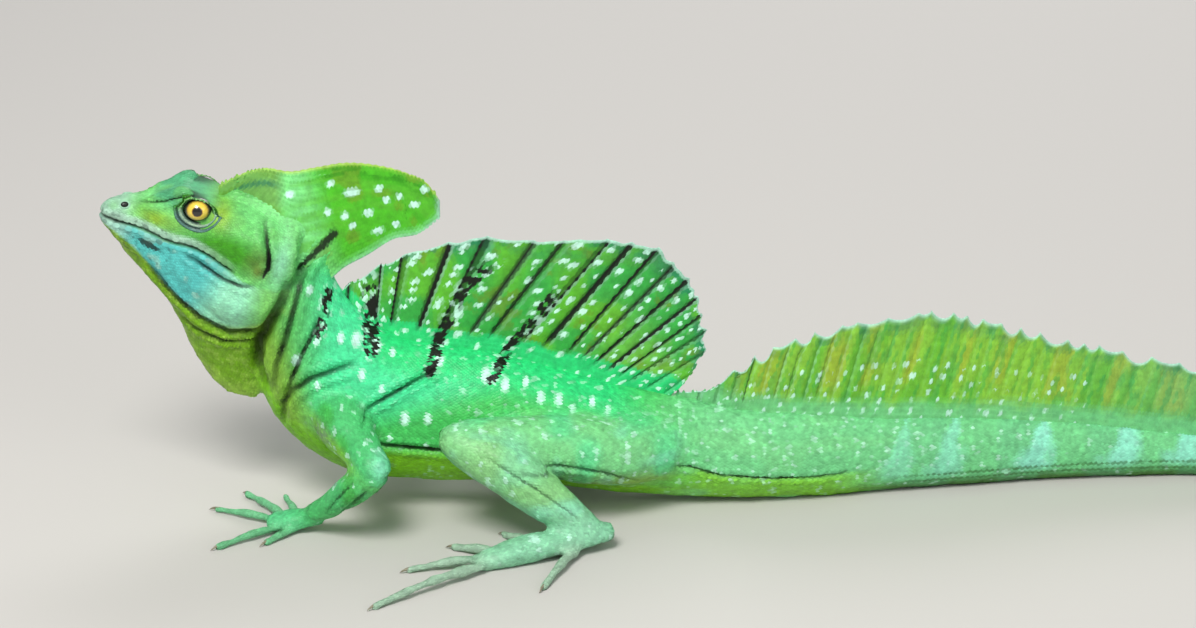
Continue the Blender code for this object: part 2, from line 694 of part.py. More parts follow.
def make_paw(name, digits, palm, radius, skin, neighbours):
    """A hand or foot with its five clawed digits, flat on the floor."""
    x, side, turn, hand = PAWS[name]
    turn = math.radians(turn)

    def place(ahead, out):
        forward = ahead * math.cos(turn) - out * math.sin(turn)
        outward = ahead * math.sin(turn) + out * math.cos(turn)
        return x - forward, side + hand * outward

    rows = [(*place(ahead, out), z, wide) for ahead, out, z, wide in palm]
    paw = loft(name, tube_rings(rows, 5, 12, PALM_FLATTENING), skin)
    parts = []
    for number, (root_ahead, root_out, tip_ahead, tip_out) in enumerate(digits):
        root = place(root_ahead, root_out)
        tip = place(tip_ahead, tip_out)
        between = [(a + b) / 2 for a, b in zip(root, tip)]
        length = math.dist(root, tip)
        bow = 0.03 * length
        rows = [
            (*root, radius[0] * 1.25, radius[0]),
            (between[0], between[1], radius[0] * 0.85 + bow, (radius[0] + radius[1]) / 2),
            (*tip, radius[1] * 0.85, radius[1]),
        ]
        parts.append(loft(f"{name}_digit_{number}", tube_rings(rows, 4, 6)))
        claw = []
        high = radius[1] * 1.1
        for reach, z, wide in ((-1, high, 0.75), (CLAW_LENGTH / 2, high, 0.5), (CLAW_LENGTH, 0.45, 0.12)):
            claw.append((*[b + (b - a) / length * reach for a, b in zip(root, tip)], z, wide))
        parts.append(loft(f"{name}_claw_{number}", tube_rings(claw, 3, 5, round_ends=False)))
    combine(paw, parts, "UNION")
    cutters = [grown(neighbour) for neighbour in neighbours] + [floor_block()]
    return combine(paw, cutters, "DIFFERENCE")


def make_limbs(skin, body):
    """The four legs, each from the trunk outwards."""
    trunk = [body["neck"], body["torso"], body["tail_base"]]
    chains = {
        "left": (LEFT_UPPER_ARM, LEFT_FOREARM, LEFT_THIGH, LEFT_SHANK),
        "right": (RIGHT_UPPER_ARM, RIGHT_FOREARM, RIGHT_THIGH, RIGHT_SHANK),
    }
    nodes = {}
    for side, (upper_arm, forearm, thigh, shank) in chains.items():
        arm = limb(side + "_upper_arm", upper_arm, skin, trunk)
        fore = limb(side + "_forearm", forearm, skin, [arm])
        hand = make_paw(side + "_hand", HAND_DIGITS, HAND_PALM, FINGER_RADIUS, skin, [fore])
        leg = limb(side + "_thigh", thigh, skin, trunk, count=10, sides=14)
        lower = limb(side + "_shank", shank, skin, [leg], count=10)
        foot = make_paw(side + "_foot", FOOT_DIGITS, FOOT_SOLE, TOE_RADIUS, skin, [lower])
        for thing in (arm, fore, hand, leg, lower, foot):
            nodes[thing.name] = thing
    return nodes


def stand_at_middle(nodes):
    """Move every node so that the origin lies under the middle of the whole model."""
    corners = []
    for thing in nodes:
        points = np.empty(len(thing.data.vertices) * 3)
        thing.data.vertices.foreach_get("co", points)
        corners += [points.reshape(-1, 3).min(axis=0), points.reshape(-1, 3).max(axis=0)]
    low, high = np.min(corners, axis=0), np.max(corners, axis=0)
    for thing in nodes:
        for vertex in thing.data.vertices:
            vertex.co.x -= (low[0] + high[0]) / 2
            vertex.co.y -= (low[1] + high[1]) / 2
            vertex.co.z = max(0.0, vertex.co.z - low[2])
        thing.data.update()


def main():
    for thing in list(bpy.data.objects):
        bpy.data.objects.remove(thing)
    flank = skin_material("flank_skin", (0.07, 0.55, 0.18), 0.55)
    throat = skin_material("throat_skin", (0.12, 0.35, 0.01), 0.6)
    crest = skin_material("crest_skin", (0.08, 0.36, 0.05), 0.55)
    face = skin_material("face_skin", (0.12, 0.45, 0.12), 0.5)
    iris = skin_material("iris", (0.75, 0.5, 0.03), 0.15)
    body = make_body(flank)
    head = make_head(face, iris)
    cut_clear(body["neck"], [head["head"]])
    pouch = make_pouch(throat, [head["head"], body["neck"]])
    casque = make_casque(crest, [head["head"], body["neck"]])
    sail = make_sail(crest, [body["neck"], body["torso"], body["tail_base"]])
    tail = [body[name] for name in body if name.startswith("tail")]
    tail_crests = make_tail_crests(crest, [*tail, body["torso"], sail])
    limbs = make_limbs(flank, body)
    nodes = [*body.values(), *head.values(), pouch, casque, sail, *tail_crests.values(), *limbs.values()]
    stand_at_middle(nodes)


main()
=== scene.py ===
"""A green basilisk dressed over its solids: one skin, its scales, crests, lids, eyes and claws.

Sizes repeat those of the solids, in millimetres in the animal's own frame: x runs from snout
to tail, side is the distance from the mid-plane towards its left, z is the height.
"""

import itertools
import math

import bmesh
import bpy
import numpy as np
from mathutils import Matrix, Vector
from mathutils.bvhtree import BVHTree
from mathutils.kdtree import KDTree

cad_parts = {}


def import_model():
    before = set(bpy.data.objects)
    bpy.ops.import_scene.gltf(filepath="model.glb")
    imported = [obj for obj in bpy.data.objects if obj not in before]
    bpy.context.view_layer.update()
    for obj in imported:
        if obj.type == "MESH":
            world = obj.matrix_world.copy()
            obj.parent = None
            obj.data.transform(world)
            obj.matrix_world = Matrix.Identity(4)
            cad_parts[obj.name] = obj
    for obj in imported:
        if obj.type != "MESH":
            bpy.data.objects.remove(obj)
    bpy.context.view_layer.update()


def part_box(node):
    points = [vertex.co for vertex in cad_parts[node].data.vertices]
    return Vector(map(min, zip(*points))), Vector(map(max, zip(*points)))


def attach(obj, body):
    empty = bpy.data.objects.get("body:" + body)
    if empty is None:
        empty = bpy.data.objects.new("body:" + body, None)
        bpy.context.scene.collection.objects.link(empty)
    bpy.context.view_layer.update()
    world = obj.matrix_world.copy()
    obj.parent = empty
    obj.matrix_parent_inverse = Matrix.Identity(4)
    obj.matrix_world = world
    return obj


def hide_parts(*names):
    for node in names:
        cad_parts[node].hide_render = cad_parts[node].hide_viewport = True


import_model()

MM = 0.001
TAIL_END = 515
MIDDLE_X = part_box("tail_tip")[1].x / MM - TAIL_END
MIDDLE_Y = (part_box("head")[0].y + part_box("head")[1].y) / 2 / MM
BODY = "root"

# The trunk, neck and tail: back x, back z, belly x, belly z, half width, side
BODY_STATIONS = (
    (-106, 97, -125, 66, 11.6, 0),
    (-103.5, 85, -127, 50, 14.4, 0),
    (-98.5, 74, -125, 36, 16.5, 0),
    (-90, 64.5, -114, 21.5, 18.0, 0),
    (-78, 58.5, -97, 10.8, 18.4, 0),
    (-64, 56, -73, 8.2, 18.4, 0),
    (-48, 53.5, -48, 7.5, 18.5, 0),
    (-28, 48, -28, 6, 17.2, 0),
    (-8, 42, -8, 3, 14.8, 0),
    (12, 37.3, 12, 1.5, 13.0, 0),
    (32, 33, 32, 0.4, 11.3, -0.5),
    (57, 30, 57, -0.6, 9.8, -3),
    (83, 26.6, 83, -0.6, 8.8, -8),
    (113, 24.6, 113, -0.6, 8.0, -13),
    (139, 21.8, 139, -0.6, 7.2, -17),
    (185, 15.8, 185, -0.6, 5.8, -20),
    (250, 11.6, 250, -0.5, 4.4, -17),
    (330, 8.0, 330, -0.4, 3.1, -6),
    (410, 5.2, 410, -0.3, 2.1, 5),
    (480, 3.2, 480, -0.3, 1.4, 8),
    (515, 1.9, 515, -0.3, 0.9, 6),
)
BACK_NARROWING = 0.2

# The head, along its own axis from the snout's tip
SNOUT_TIP = (-177.6, 104)
HEAD_PITCH = math.radians(14)
HEAD_LENGTH = 66
CROWN = ((-0.8, 0.8), (0, 2.4), (3, 5.0), (7, 6.8), (12, 8.5), (18, 12), (23, 14.4), (30, 14.3), (66, 15))
BROW = ((-0.8, 0.6), (0, 1.9), (3, 4.2), (12, 8.4), (18, 12.8), (23, 15.8), (30, 15.3), (38, 14), (66, 12.5))
BROW_WIDTH = ((-0.8, 0.4), (0, 1.6), (3, 3.2), (12, 4.8), (18, 7), (24, 9.2), (30, 9.8), (66, 6.5))
CHEEK = ((-0.8, 0), (3, 1.8), (12, 3.8), (24, 7.0), (30, 8.2), (43, 6.0), (66, 1.0))
CHEEK_WIDTH = ((-0.8, 0.8), (0, 2.6), (3, 4.8), (12, 7.5), (24, 11.0), (30, 12.6), (57, 16.3), (66, 15.6))
MOUTH = ((-0.8, -1.0), (3, -1.2), (12, -0.7), (24, -2.2), (33, -1.9), (43, -4.7), (50, -7.6), (66, -8))
MOUTH_WIDTH = ((-0.8, 0.7), (0, 2.4), (3, 4.3), (12, 7.0), (24, 9.8), (36, 12.1), (50, 14.9), (66, 15.3))
JAW = ((-0.8, -1.6), (0, -2.4), (3, -4.2), (12, -7.5), (24, -10.5), (36, -15), (50, -18), (66, -13.5))
JAW_WIDTH = ((-0.8, 0.5), (0, 1.8), (3, 3.8), (12, 6.8), (24, 10.0), (36, 13.0), (52, 15.8), (66, 13.6))
CHIN = ((-0.8, -2.2), (0, -3.4), (4, -7.2), (12, -13.2), (20, -16.8), (36, -23.5), (50, -29), (66, -21))
MOUTH_CORNER = 48
EYE_PLACE = (30.7, 11.3)
EYE_SIDE = 9.0
EYE_RADIUS = 4.95
EYE_FLATTENING = 0.84
NOSTRIL_PLACE = (6.6, 5.9)
EAR_PLACE = (53.5, -1.5)
EAR_REACH = (4.2, 5.2)

# Slices of the throat pouch, parallel to the head's axis: height, front, rear, half width
POUCH_SLICES = (
    (-11, 7, 56, 8.5),
    (-17, 16, 61, 11.0),
    (-24, 25.5, 64.5, 11.3),
    (-32, 32.5, 65.5, 9.3),
    (-40, 38.2, 65, 6.4),
    (-47, 44.4, 65.5, 4.2),
    (-51.5, 49.3, 65.5, 2.6),
    (-54, 53.8, 63, 1.3),
)

# The head crest: x and height of its upper and lower edge, and its half thickness
CASQUE_TOP = (
    (-139, 112.2),
    (-132, 116),
    (-124, 118.3),
    (-115, 117.2),
    (-107, 118.6),
    (-97, 120.2),
    (-87, 119.4),
    (-77, 116.6),
    (-70, 112.6),
    (-66.2, 107),
)
CASQUE_LOW = (
    (-139, 107),
    (-127, 102),
    (-119, 88),
    (-112, 78),
    (-106, 77.8),
    (-98, 84),
    (-90, 88.4),
    (-82, 93.5),
    (-73, 95.8),
    (-66.2, 101.4),
)
CASQUE_HALF = ((-139, 0.9), (-127, 1.4), (-117, 6.5), (-110, 6.2), (-102, 4.2), (-92, 2.6), (-66.2, 1.0))

# The back crest: x of each ray's root, and x and height of its tip
SAIL_RAYS = (
    (-101, -101, 74),
    (-87, -84, 84.5),
    (-75, -60, 93),
    (-61, -34, 93.5),
    (-46, -11, 94),
    (-31, 5, 90.5),
    (-22, 16, 79.5),
    (-14, 21, 69),
    (-5, 22.5, 56),
    (8, 16.5, 43.5),
)
SAIL_RAY_COUNT = 17

# The tail crest: x and height of its edge over the tail's back
TAIL_CREST = (
    (12, 0.8),
    (22, 5),
    (29, 14),
    (40, 23),
    (55, 29.5),
    (78, 35),
    (88, 37.2),
    (108, 33.8),
    (139, 28),
    (168, 24.8),
    (185, 23),
    (230, 17),
    (280, 9.5),
    (335, 2),
)
TAIL_RAY_SPACING = 4.8
TAIL_RAY_LEAN = 0.28
CREST_ROOT_HALF = 2.6
CREST_ROOT_SINK = 3.0

# The limbs: x, side, z and radius along each
LEFT_UPPER_ARM = ((-102, 8, 38, 9.5), (-99, 19, 35.5, 9.2), (-92, 32, 31, 7.0), (-87, 42, 27.6, 5.8))
LEFT_FOREARM = ((-87, 42, 27.2, 5.6), (-93, 39, 21.5, 5.5), (-103.5, 32.5, 11, 4.2), (-110, 28.5, 5.6, 3.6))
RIGHT_UPPER_ARM = ((-99, -8, 38, 9.5), (-93, -19, 36, 9.2), (-79, -28, 34, 7.0), (-69, -34, 33, 5.8))
RIGHT_FOREARM = ((-69, -34, 32.5, 5.6), (-72, -38, 25, 5.5), (-76, -43.5, 12, 4.2), (-78, -46, 5.8, 3.6))
LEFT_THIGH = ((6, 6, 21, 11.5), (-8, 14, 23, 11.8), (-34, 24, 29, 10.4), (-60, 33, 34.4, 7.6))
LEFT_SHANK = ((-60, 33, 34.4, 7.5), (-46.5, 36.8, 28.2, 9.0), (-29, 40.6, 15.6, 7.3), (-16, 42.5, 6.6, 4.7))
RIGHT_THIGH = ((6, -6, 21, 11.5), (-6, -16, 23, 11.8), (-22, -38, 27, 10.4), (-38, -60, 29.5, 7.6))
RIGHT_SHANK = ((-38, -60, 29.5, 7.5), (-24, -57.3, 24.4, 9.0), (0, -49.4, 14.4, 7.3), (15, -44, 6.6, 4.7))
PAWS = {
    "left_hand": (-110, 28.5, -12, 1),
    "right_hand": (-78, -46, 60, -1),
    "left_foot": (-16, 42.5, 23.6, 1),
    "right_foot": (15, -44, 40, -1),
}
HAND_DIGITS = (
    (4, -3.2, 14.5, -22.5),
    (8, -3.6, 28, -22.5),
    (10, -1.2, 34.5, -8.4),
    (9, 2.4, 25.5, 20),
    (4.5, 3.4, 11, 13.5),
)
FOOT_DIGITS = (
    (18, -6, 23, -20),
    (31, -5, 42, -17.5),
    (36, -2, 62, -7),
    (37, 2, 82, 14),
    (8, 4, 27, 22.5),
)
HAND_PALM = ((-3, 0, 5.2, 3.7), (5, 0, 4.0, 5.0), (11, 0, 2.6, 4.6))
FOOT_SOLE = ((-3.5, 0, 5.6, 4.9), (8, 0.2, 5.0, 5.2), (24, -1.2, 3.8, 6.2), (38, -0.6, 2.5, 4.8))
PALM_FLATTENING = 0.72
FINGER_RADIUS = (1.7, 1.15)
TOE_RADIUS = (2.1, 1.2)
CLAW_LENGTH = 3.3
END_ROUNDING = 0.8

# The skin and its coat
SCALE_DEPTH = 0.25
SKIN_VOXEL = 0.95
SKIN_LIMIT = 196000
SKIN_STEP = 1.1
ROW_PITCH = 0.84
SPACING = {
    "head": 0.9,
    "pouch": 1.0,
    "casque": 1.1,
    "body": 1.1,
    "upper_arm": 1.05,
    "forearm": 1.0,
    "palm": 0.85,
    "finger": 0.7,
    "thigh": 1.1,
    "shank": 1.05,
    "sole": 0.95,
    "toe": 0.75,
}
KIND_ORDER = tuple(SPACING)
# Folds of the skin, seen from the side: depth, width, and the line as x and z
BODY_FOLDS = (
    (2.4, 1.7, ((-115.5, 84), (-117.9, 76.4), (-123.2, 67.4), (-126.5, 60.3), (-127.2, 53.2), (-124.5, 44))),
    (1.8, 1.3, ((-110.8, 86), (-113.6, 76.4), (-117.2, 63.9), (-120.9, 53.2), (-121.9, 44))),
    (1.5, 1.1, ((-105.5, 70), (-107.6, 65.6), (-111.6, 58.5), (-115.2, 50.7), (-118.2, 43.5))),
    (1.8, 1.3, ((-119.3, 31), (-118.7, 40.2), (-115.7, 45.5), (-109.1, 50.1), (-100.9, 52.6), (-94, 54.3))),
    (1.7, 1.0, ((-92, 39), (-82, 44), (-67, 51))),
    (1.6, 1.0, ((-91, 27.4), (-78, 26), (-60, 24.1))),
    (1.8, 1.3, ((-113.2, 82.5), (-112.2, 85), (-107, 90), (-101, 96))),
    (0.9, 0.7, ((2, 19.5), (16.7, 16.3), (27, 12.7), (45, 10.3), (60, 9.7), (76, 10.8))),
)
# Folds of the legs, as x and height
LIMB_FOLDS = (
    (1.0, 0.9, ((-99, 10), (-95.8, 13.9), (-89.3, 22.7))),
    (0.6, 0.7, ((-104, 10), (-100, 17), (-94, 25))),
    (0.7, 0.8, ((-51, 34), (-35, 24), (-20, 12.5))),
    (0.8, 0.9, ((-40, 28.5), (-25, 25), (-12.4, 21), (0, 14.2))),
)
# Folds of the head, as the distance behind the snout's tip and the height over its axis
HEAD_FOLDS = (
    (1.2, 0.9, ((30, -5.2), (33.1, -5.9), (38.3, -7.6), (43.8, -9.5), (50.1, -10.0), (54, -9.2))),
    (1.4, 1.0, ((52.5, 12.5), (54.5, 8.5), (56.6, 3.5), (57.4, -1.5), (56.2, -5.5))),
    (0.8, 0.7, ((9, 6.4), (14, 8.2), (19, 10.4), (24.1, 13.8), (29.1, 15.6), (35, 15.2))),
)
POUCH_FOLDS = (
    (1.6, 1.1, ((18, -12.5), (30, -21.5), (39, -26.0), (49.9, -28.9), (57.7, -26), (66, -17.5))),
    (1.1, 0.9, ((33, -29), (38.3, -31.3), (48.5, -32.8), (58.6, -29.8), (64, -25))),
)
# The lower edge of the jaw, where the throat's colour starts
JAW_EDGE = (
    (-1, -3),
    (6, -5),
    (14.3, -9),
    (25.1, -17.5),
    (39, -25.1),
    (49.9, -27.9),
    (57.7, -24.9),
    (65.2, -16.7),
)
# Rows of small pale spots on the tail: how high on its side, their spacing and their size
SPOT_ROWS = ((0.75, 8.0, 0.9), (0.45, 7.0, 1.1), (0.1, 7.5, 1.0), (-0.2, 8.5, 1.0), (-0.45, 9.5, 0.8))
# Where those rows start and end, as the distance along the body
SPOTTED_REACH = (92, 290)
# Where the turquoise patches of the tail stand, as x
TAIL_PATCHES = (84, 101, 132.6, 162.5, 184, 205)
# Pale spots of the flank: x, height and half height
FLANK_SPOTS = (
    (-109.2, 79.3, 1.4),
    (-98.6, 70.4, 1.3),
    (-107.2, 62.2, 1.1),
    (-99.3, 62.5, 1.5),
    (-94.3, 61.1, 2.0),
    (-87.7, 58.6, 2.0),
    (-82.4, 56.1, 1.1),
    (-73.8, 56.5, 1.8),
    (-67.0, 53.6, 2.0),
    (-113.8, 56.5, 1.9),
    (-51.4, 48.5, 2.0),
    (-45.1, 45.7, 1.8),
    (-38.2, 46.0, 1.3),
    (-33.2, 41.4, 1.7),
    (-27.2, 40.3, 1.7),
    (-22.6, 37.5, 1.1),
    (-16.0, 38.5, 1.4),
    (-11.0, 36.0, 1.2),
    (-107.0, 47.8, 1.2),
    (-92.5, 50.6, 1.6),
    (-85.9, 46.0, 1.0),
    (-92.5, 40.6, 1.5),
    (-78.3, 36.0, 2.0),
    (-70.7, 36.0, 1.6),
    (-89.2, 33.5, 1.6),
    (-83.3, 29.6, 1.0),
    (-71.1, 26.8, 1.0),
    (-64.5, 26.1, 1.1),
)
# The slit behind the ear, painted black as the shade in it, as distance behind the snout's tip and height
# over its axis
EAR_SLIT = ((55.6, 4.8), (57.0, 2.0), (57.4, -1.5), (56.4, -5.2))
# The black bars of the flank and back crest: the line as x and height, and half its width
BARS = (
    (((-103.3, 77), (-104.5, 71), (-106.3, 65)), 1.6),
    (((-90.4, 78), (-90.2, 68), (-89.1, 58)), 2.7),
    (((-48, 86), (-57.9, 77), (-67.2, 58), (-70, 50)), 2.1),
    (((-27, 76), (-43.9, 54.5), (-49.5, 47.5)), 1.7),
)
# Pale spots of the head crest: x, height and half length
CASQUE_SPOTS = (
    (-102.1, 113.3, 1.4),
    (-95.1, 110.4, 3.2),
    (-86.2, 111.5, 1.5),
    (-83.8, 107.6, 1.4),
    (-79.5, 108.6, 1.3),
    (-71.2, 110.8, 1.5),
    (-74.5, 105.8, 1.8),
    (-89.8, 103.3, 2.0),
    (-97.5, 102.6, 1.4),
    (-103.1, 104.0, 1.4),
    (-95.1, 99.0, 1.3),
    (-86.8, 97.1, 2.2),
    (-80.8, 99.2, 1.5),
    (-115.4, 110.1, 1.8),
)
# The groove under the head crest, painted black as the shade in it, as x and height
CASQUE_GROOVE = ((-113.0, 85.6), (-107.0, 91.0), (-101.2, 96.6))
# How deep the pleat at each ray of the back crest is, and how strong the painted shade in its furrow and the
# painted highlight beside it are
SAIL_BAND_STRENGTH = (
    1.0, 0.3, 0.85, 0.4, 1.0, 0.5, 0.9, 0.4, 1.0,
    0.8, 0.45, 1.0, 0.7, 1.0, 0.4, 0.5, 0.3, 0.3,
)
# The size of a scale's patch on the unwrap, the unwrap's width in mm, and the cell of the root search
PATCH = 0.003
UNWRAP_SIDE = 700
CELL = 1.6
NEIGHBOURS = tuple(itertools.product((-1, 0, 1), repeat=3))
SKIN_NODES = ("head", "neck", "torso", "throat_pouch", "tail_base", "tail_middle", "tail_rear", "tail_tip")
LIMB_NODES = ("upper_arm", "forearm", "hand", "thigh", "shank", "foot")
TAIL_CREST_NODES = ("tail_crest_front", "tail_crest_middle", "tail_crest_rear")
# The pieces of the coat: their kinds of form, from and to which x, the slot and the solids dressed
EVERYWHERE = (-math.inf, math.inf)
COATS = {
    "head_scales": (("head",), EVERYWHERE, "face", ("head",)),
    "pouch_scales": (("pouch",), EVERYWHERE, "throat", ("throat_pouch",)),
    "front_scales": (("body",), (-math.inf, -62), "skin", ("neck", "torso")),
    "rear_scales": (("body",), (-62, 40), "skin", ("torso", "tail_base")),
    "tail_scales_front": (("body",), (40, 160), "skin", ("tail_base", "tail_middle")),
    "tail_scales_rear": (("body",), (160, math.inf), "skin", ("tail_middle", "tail_rear", "tail_tip")),
    "casque_root_scales": (("casque",), EVERYWHERE, "crest", ("casque",)),
    "arm_scales": (("upper_arm", "forearm"), EVERYWHERE, "skin", ("left_upper_arm", "right_upper_arm")),
    "hand_scales": (("palm", "finger"), EVERYWHERE, "skin", ("left_hand", "right_hand")),
    "leg_scales": (("thigh", "shank"), EVERYWHERE, "skin", ("left_thigh", "right_thigh")),
    "foot_scales": (("sole", "toe"), EVERYWHERE, "skin", ("left_foot", "right_foot")),
}
# Length, width and height of a scale, for a spacing of 1
SCALE_SIZE = (1.42, 1.12, 0.38)
SCALE_SIZES = {
    "pouch": (1.15, 1.05, 0.35),
    "head": (1.2, 1.1, 0.42),
    "toe": (1.3, 1.0, 0.7),
    "finger": (1.3, 1.0, 0.7),
}
# Length, width and height in mm of the scales on the lids and of the points along a crest's edge
LID_SCALE_SIZE = (0.72, 0.66, 0.5)
EDGE_SIZE = (1.4, 0.65, 0.8)
EDGE_SPACING = 1.3
# The nostril's ring from its outside to the hole: radius and height over the skin
NOSTRIL_PROFILE = (
    (0.9, -0.7),
    (1.8, -0.3),
    (1.7, 0.15),
    (1.45, 0.42),
    (1.25, 0.45),
    (1.1, 0.28),
    (0.9, 0.12),
    (0.4, 0.08),
)
# Points tried in the gaps between the rows of scales
LOOSE_POINTS = 170000
# How often the borders between forms are evened out, and how often their colours are blended
BORDER_ROUNDS = 36
COLOUR_ROUNDS = 40
# Turns a direction of the animal's own frame into the model's, and back
MIRROR = (1, -1, 1)
# The camera: what it looks at in the animal's own frame, its angle over the floor, and in metres
# its distance and the width of what it sees; then the width of its sensor and the lights' aim
VIEW_TARGET = (-14, 0, 66.5)
VIEW_ELEVATION = math.radians(22)
VIEW_DISTANCE = 1.5
VIEW_WIDTH = 0.39867
SENSOR_WIDTH = 36
LIGHT_TARGET = (-0.12, 0, 0.04)


def colour(red, green, blue):
    """A colour given as a screen shows it, as the shader's linear values."""
    shown = np.array([red, green, blue]) / 255
    return np.where(shown <= 0.04045, shown / 12.92, ((shown + 0.055) / 1.055) ** 2.4)


MINT = colour(72, 220, 152)
BACK_MINT = colour(42, 208, 120)
NECK_GREEN = colour(92, 172, 72)
BELLY = colour(126, 200, 30)
TAIL_SIDE = colour(112, 202, 134)
TAIL_UNDER = colour(70, 128, 50)
TAIL_BAND = colour(96, 176, 136)
# Turquoise markings; on the elbow a painted highlight
TURQUOISE = colour(142, 226, 200)
SPOT = colour(206, 252, 236)
ARM = colour(78, 190, 112)
THIGH = colour(122, 208, 136)
THIGH_UNDER = colour(140, 186, 66)
SHANK = colour(132, 208, 152)
TOE = colour(158, 192, 166)
CROWN_GREEN = colour(84, 174, 122)
CHEEK_GREEN = colour(66, 158, 30)
TEMPLE = colour(124, 218, 130)
SNOUT = colour(154, 204, 172)
LORE_YELLOW = colour(146, 186, 44)
LIP_PALE = colour(172, 212, 190)
JAW_TURQUOISE = colour(84, 188, 182)
# The jaw's pale rear, partly its own colour and partly a painted highlight
JAW_PALE_AND_HIGHLIGHT = colour(146, 220, 182)
JAW_GREEN = colour(118, 196, 96)
EAR_BROWN = colour(104, 122, 44)
POUCH_GREEN = colour(112, 164, 26)
# Pale edges of the pouch and head crest; on the pouch's front partly a painted highlight
POUCH_EDGE = colour(166, 206, 84)
CASQUE_GREEN = colour(78, 188, 36)
SAIL_GREEN = colour(56, 172, 70)
SAIL_LOW = colour(92, 184, 48)
TAIL_CREST_GREEN = colour(136, 200, 62)
# Painted shade in furrows, folds, under the brow and round the lids
FURROW_SHADE = colour(10, 40, 8)
# Black markings; also painted shade in the ear's slit, the groove under the head crest, the crests' furrows
# and the nostrils' holes
BLACK = colour(14, 22, 12)
LID_BLUE = colour(76, 116, 108)
LID_PALE = colour(176, 206, 170)
# Pale crest edges; also the painted highlight beside the crests' rays
CREST_EDGE = colour(176, 226, 204)
# Dark teal of the crests; under the toothed edges of the back and tail crests partly painted shade
CREST_TEAL = colour(24, 116, 92)
CREST_OLIVE = colour(112, 146, 34)
CREST_ORANGE = colour(172, 182, 52)
HAND = colour(90, 206, 138)
FINGER = colour(112, 190, 138)
SOLE = colour(136, 204, 164)
ARM_FRONT = colour(66, 176, 60)
ARM_YELLOW = colour(132, 206, 44)
CREASED_GREY = colour(104, 142, 104)
ARM_LOW = colour(76, 182, 100)
FLANK_LOW = colour(70, 190, 84)
# The skin's colour between the scales, as a share of theirs
BETWEEN_SCALES = 0.9
# The scales of each crest: their steps along its grid, size, the edge's colour and the solids dressed
CREST_COATS = (
    ("sail", (3, 2), (1.95, 1.15, 0.2), CREST_EDGE, ("back_crest",)),
    ("tail_crest", (2, 2), (2.2, 1.25, 0.2), CREST_EDGE, TAIL_CREST_NODES),
    ("casque", (3, 2), (1.75, 1.3, 0.24), POUCH_EDGE, ("casque",)),
)
# The iris from the middle of the pupil outwards, as linear colours
IRIS_STOPS = (
    (0.0, (0.004, 0.003, 0.002)),
    (0.165, (0.006, 0.004, 0.002)),
    (0.185, (0.30, 0.12, 0.006)),
    (0.21, (0.88, 0.68, 0.07)),
    (0.33, (0.78, 0.58, 0.05)),
    (0.38, (0.50, 0.34, 0.02)),
    (0.42, (0.12, 0.08, 0.008)),
    (0.45, (0.012, 0.010, 0.004)),
    (0.52, (0.004, 0.004, 0.003)),
)


def curve(rows, at):
    """Values read at the places asked for, off a smooth curve through rows of (place, values)."""
    rows = np.array(rows, dtype=float)
    places, values = rows[:, 0], rows[:, 1:]
    slopes = np.gradient(values, places, axis=0)
    at = np.clip(np.atleast_1d(np.asarray(at, dtype=float)), places[0], places[-1])
    start = np.clip(np.searchsorted(places, at, side="right") - 1, 0, len(places) - 2)
    span = (places[start + 1] - places[start])[:, None]
    part = (at - places[start])[:, None] / span
    result = (2 * part**3 - 3 * part**2 + 1) * values[start]
    result += (part**3 - 2 * part**2 + part) * span * slopes[start]
    result += (3 * part**2 - 2 * part**3) * values[start + 1]
    result += (part**3 - part**2) * span * slopes[start + 1]
    return result[:, 0] if values.shape[1] == 1 else result


def world(points):
    """Points of the animal's own frame, in metres in the model's frame."""
    points = np.asarray(points, dtype=float)
    return np.stack([points[..., 0] + MIDDLE_X, MIDDLE_Y - points[..., 1], points[..., 2]], axis=-1) * MM


def own(points):
    """Points of the model's frame in metres, in the animal's own frame."""
    points = np.asarray(points, dtype=float) / MM
    return np.stack([points[..., 0] - MIDDLE_X, MIDDLE_Y - points[..., 1], points[..., 2]], axis=-1)


def smooth(low, high, value):
    """From 0 to 1 as a value goes from low to high."""
    part = np.clip((value - low) / (high - low), 0, 1)
    return part * part * (3 - 2 * part)


def bump(distance, width):
    """1 at no distance, and soon 0 past a width."""
    return np.exp(-((distance / width) ** 2))


def noise(points, size, seed=0):
    """Smooth random values from -1 to 1 over space, in lumps of one size."""
    table = np.random.default_rng(seed).uniform(-1, 1, 4096)
    scaled = points / size
    low = np.floor(scaled).astype(np.int64)
    part = scaled - low
    part = part * part * (3 - 2 * part)
    total = np.zeros(len(points))
    for corner in itertools.product((0, 1), repeat=3):
        key = (low + np.array(corner)) @ np.array((73856093, 19349663, 83492791)) & 4095
        total += table[key] * np.prod(np.where(np.array(corner) == 1, part, 1 - part), axis=1)
    return total


def lengths_along(line):
    """How far along a bent line each of its points is."""
    return np.concatenate([[0.0], np.cumsum(np.linalg.norm(np.diff(line, axis=0), axis=1))])


def along_line(points, line):
    """Distance from flat points to a bent line, and how far along it they are, from 0 to 1."""
    line = np.array(line, dtype=float)
    marks = lengths_along(line)
    marks = marks / marks[-1]
    best = np.full(len(points), np.inf)
    place = np.zeros(len(points))
    for start, end, first, last in zip(line[:-1], line[1:], marks[:-1], marks[1:]):
        run = end - start
        share = np.clip((points - start) @ run / (run @ run), 0, 1)
        gap = np.linalg.norm(points - start - share[:, None] * run, axis=1)
        nearer = gap < best
        best = np.where(nearer, gap, best)
        place = np.where(nearer, first + share * (last - first), place)
    return best, place


def unit(vectors):
    """Vectors made one long."""
    return vectors / np.maximum(np.linalg.norm(vectors, axis=-1, keepdims=True), 1e-9)


def laid_flat(vectors, facing):
    """Directions turned square to the way that each surface faces."""
    return unit(vectors - facing * np.sum(vectors * facing, axis=1, keepdims=True))


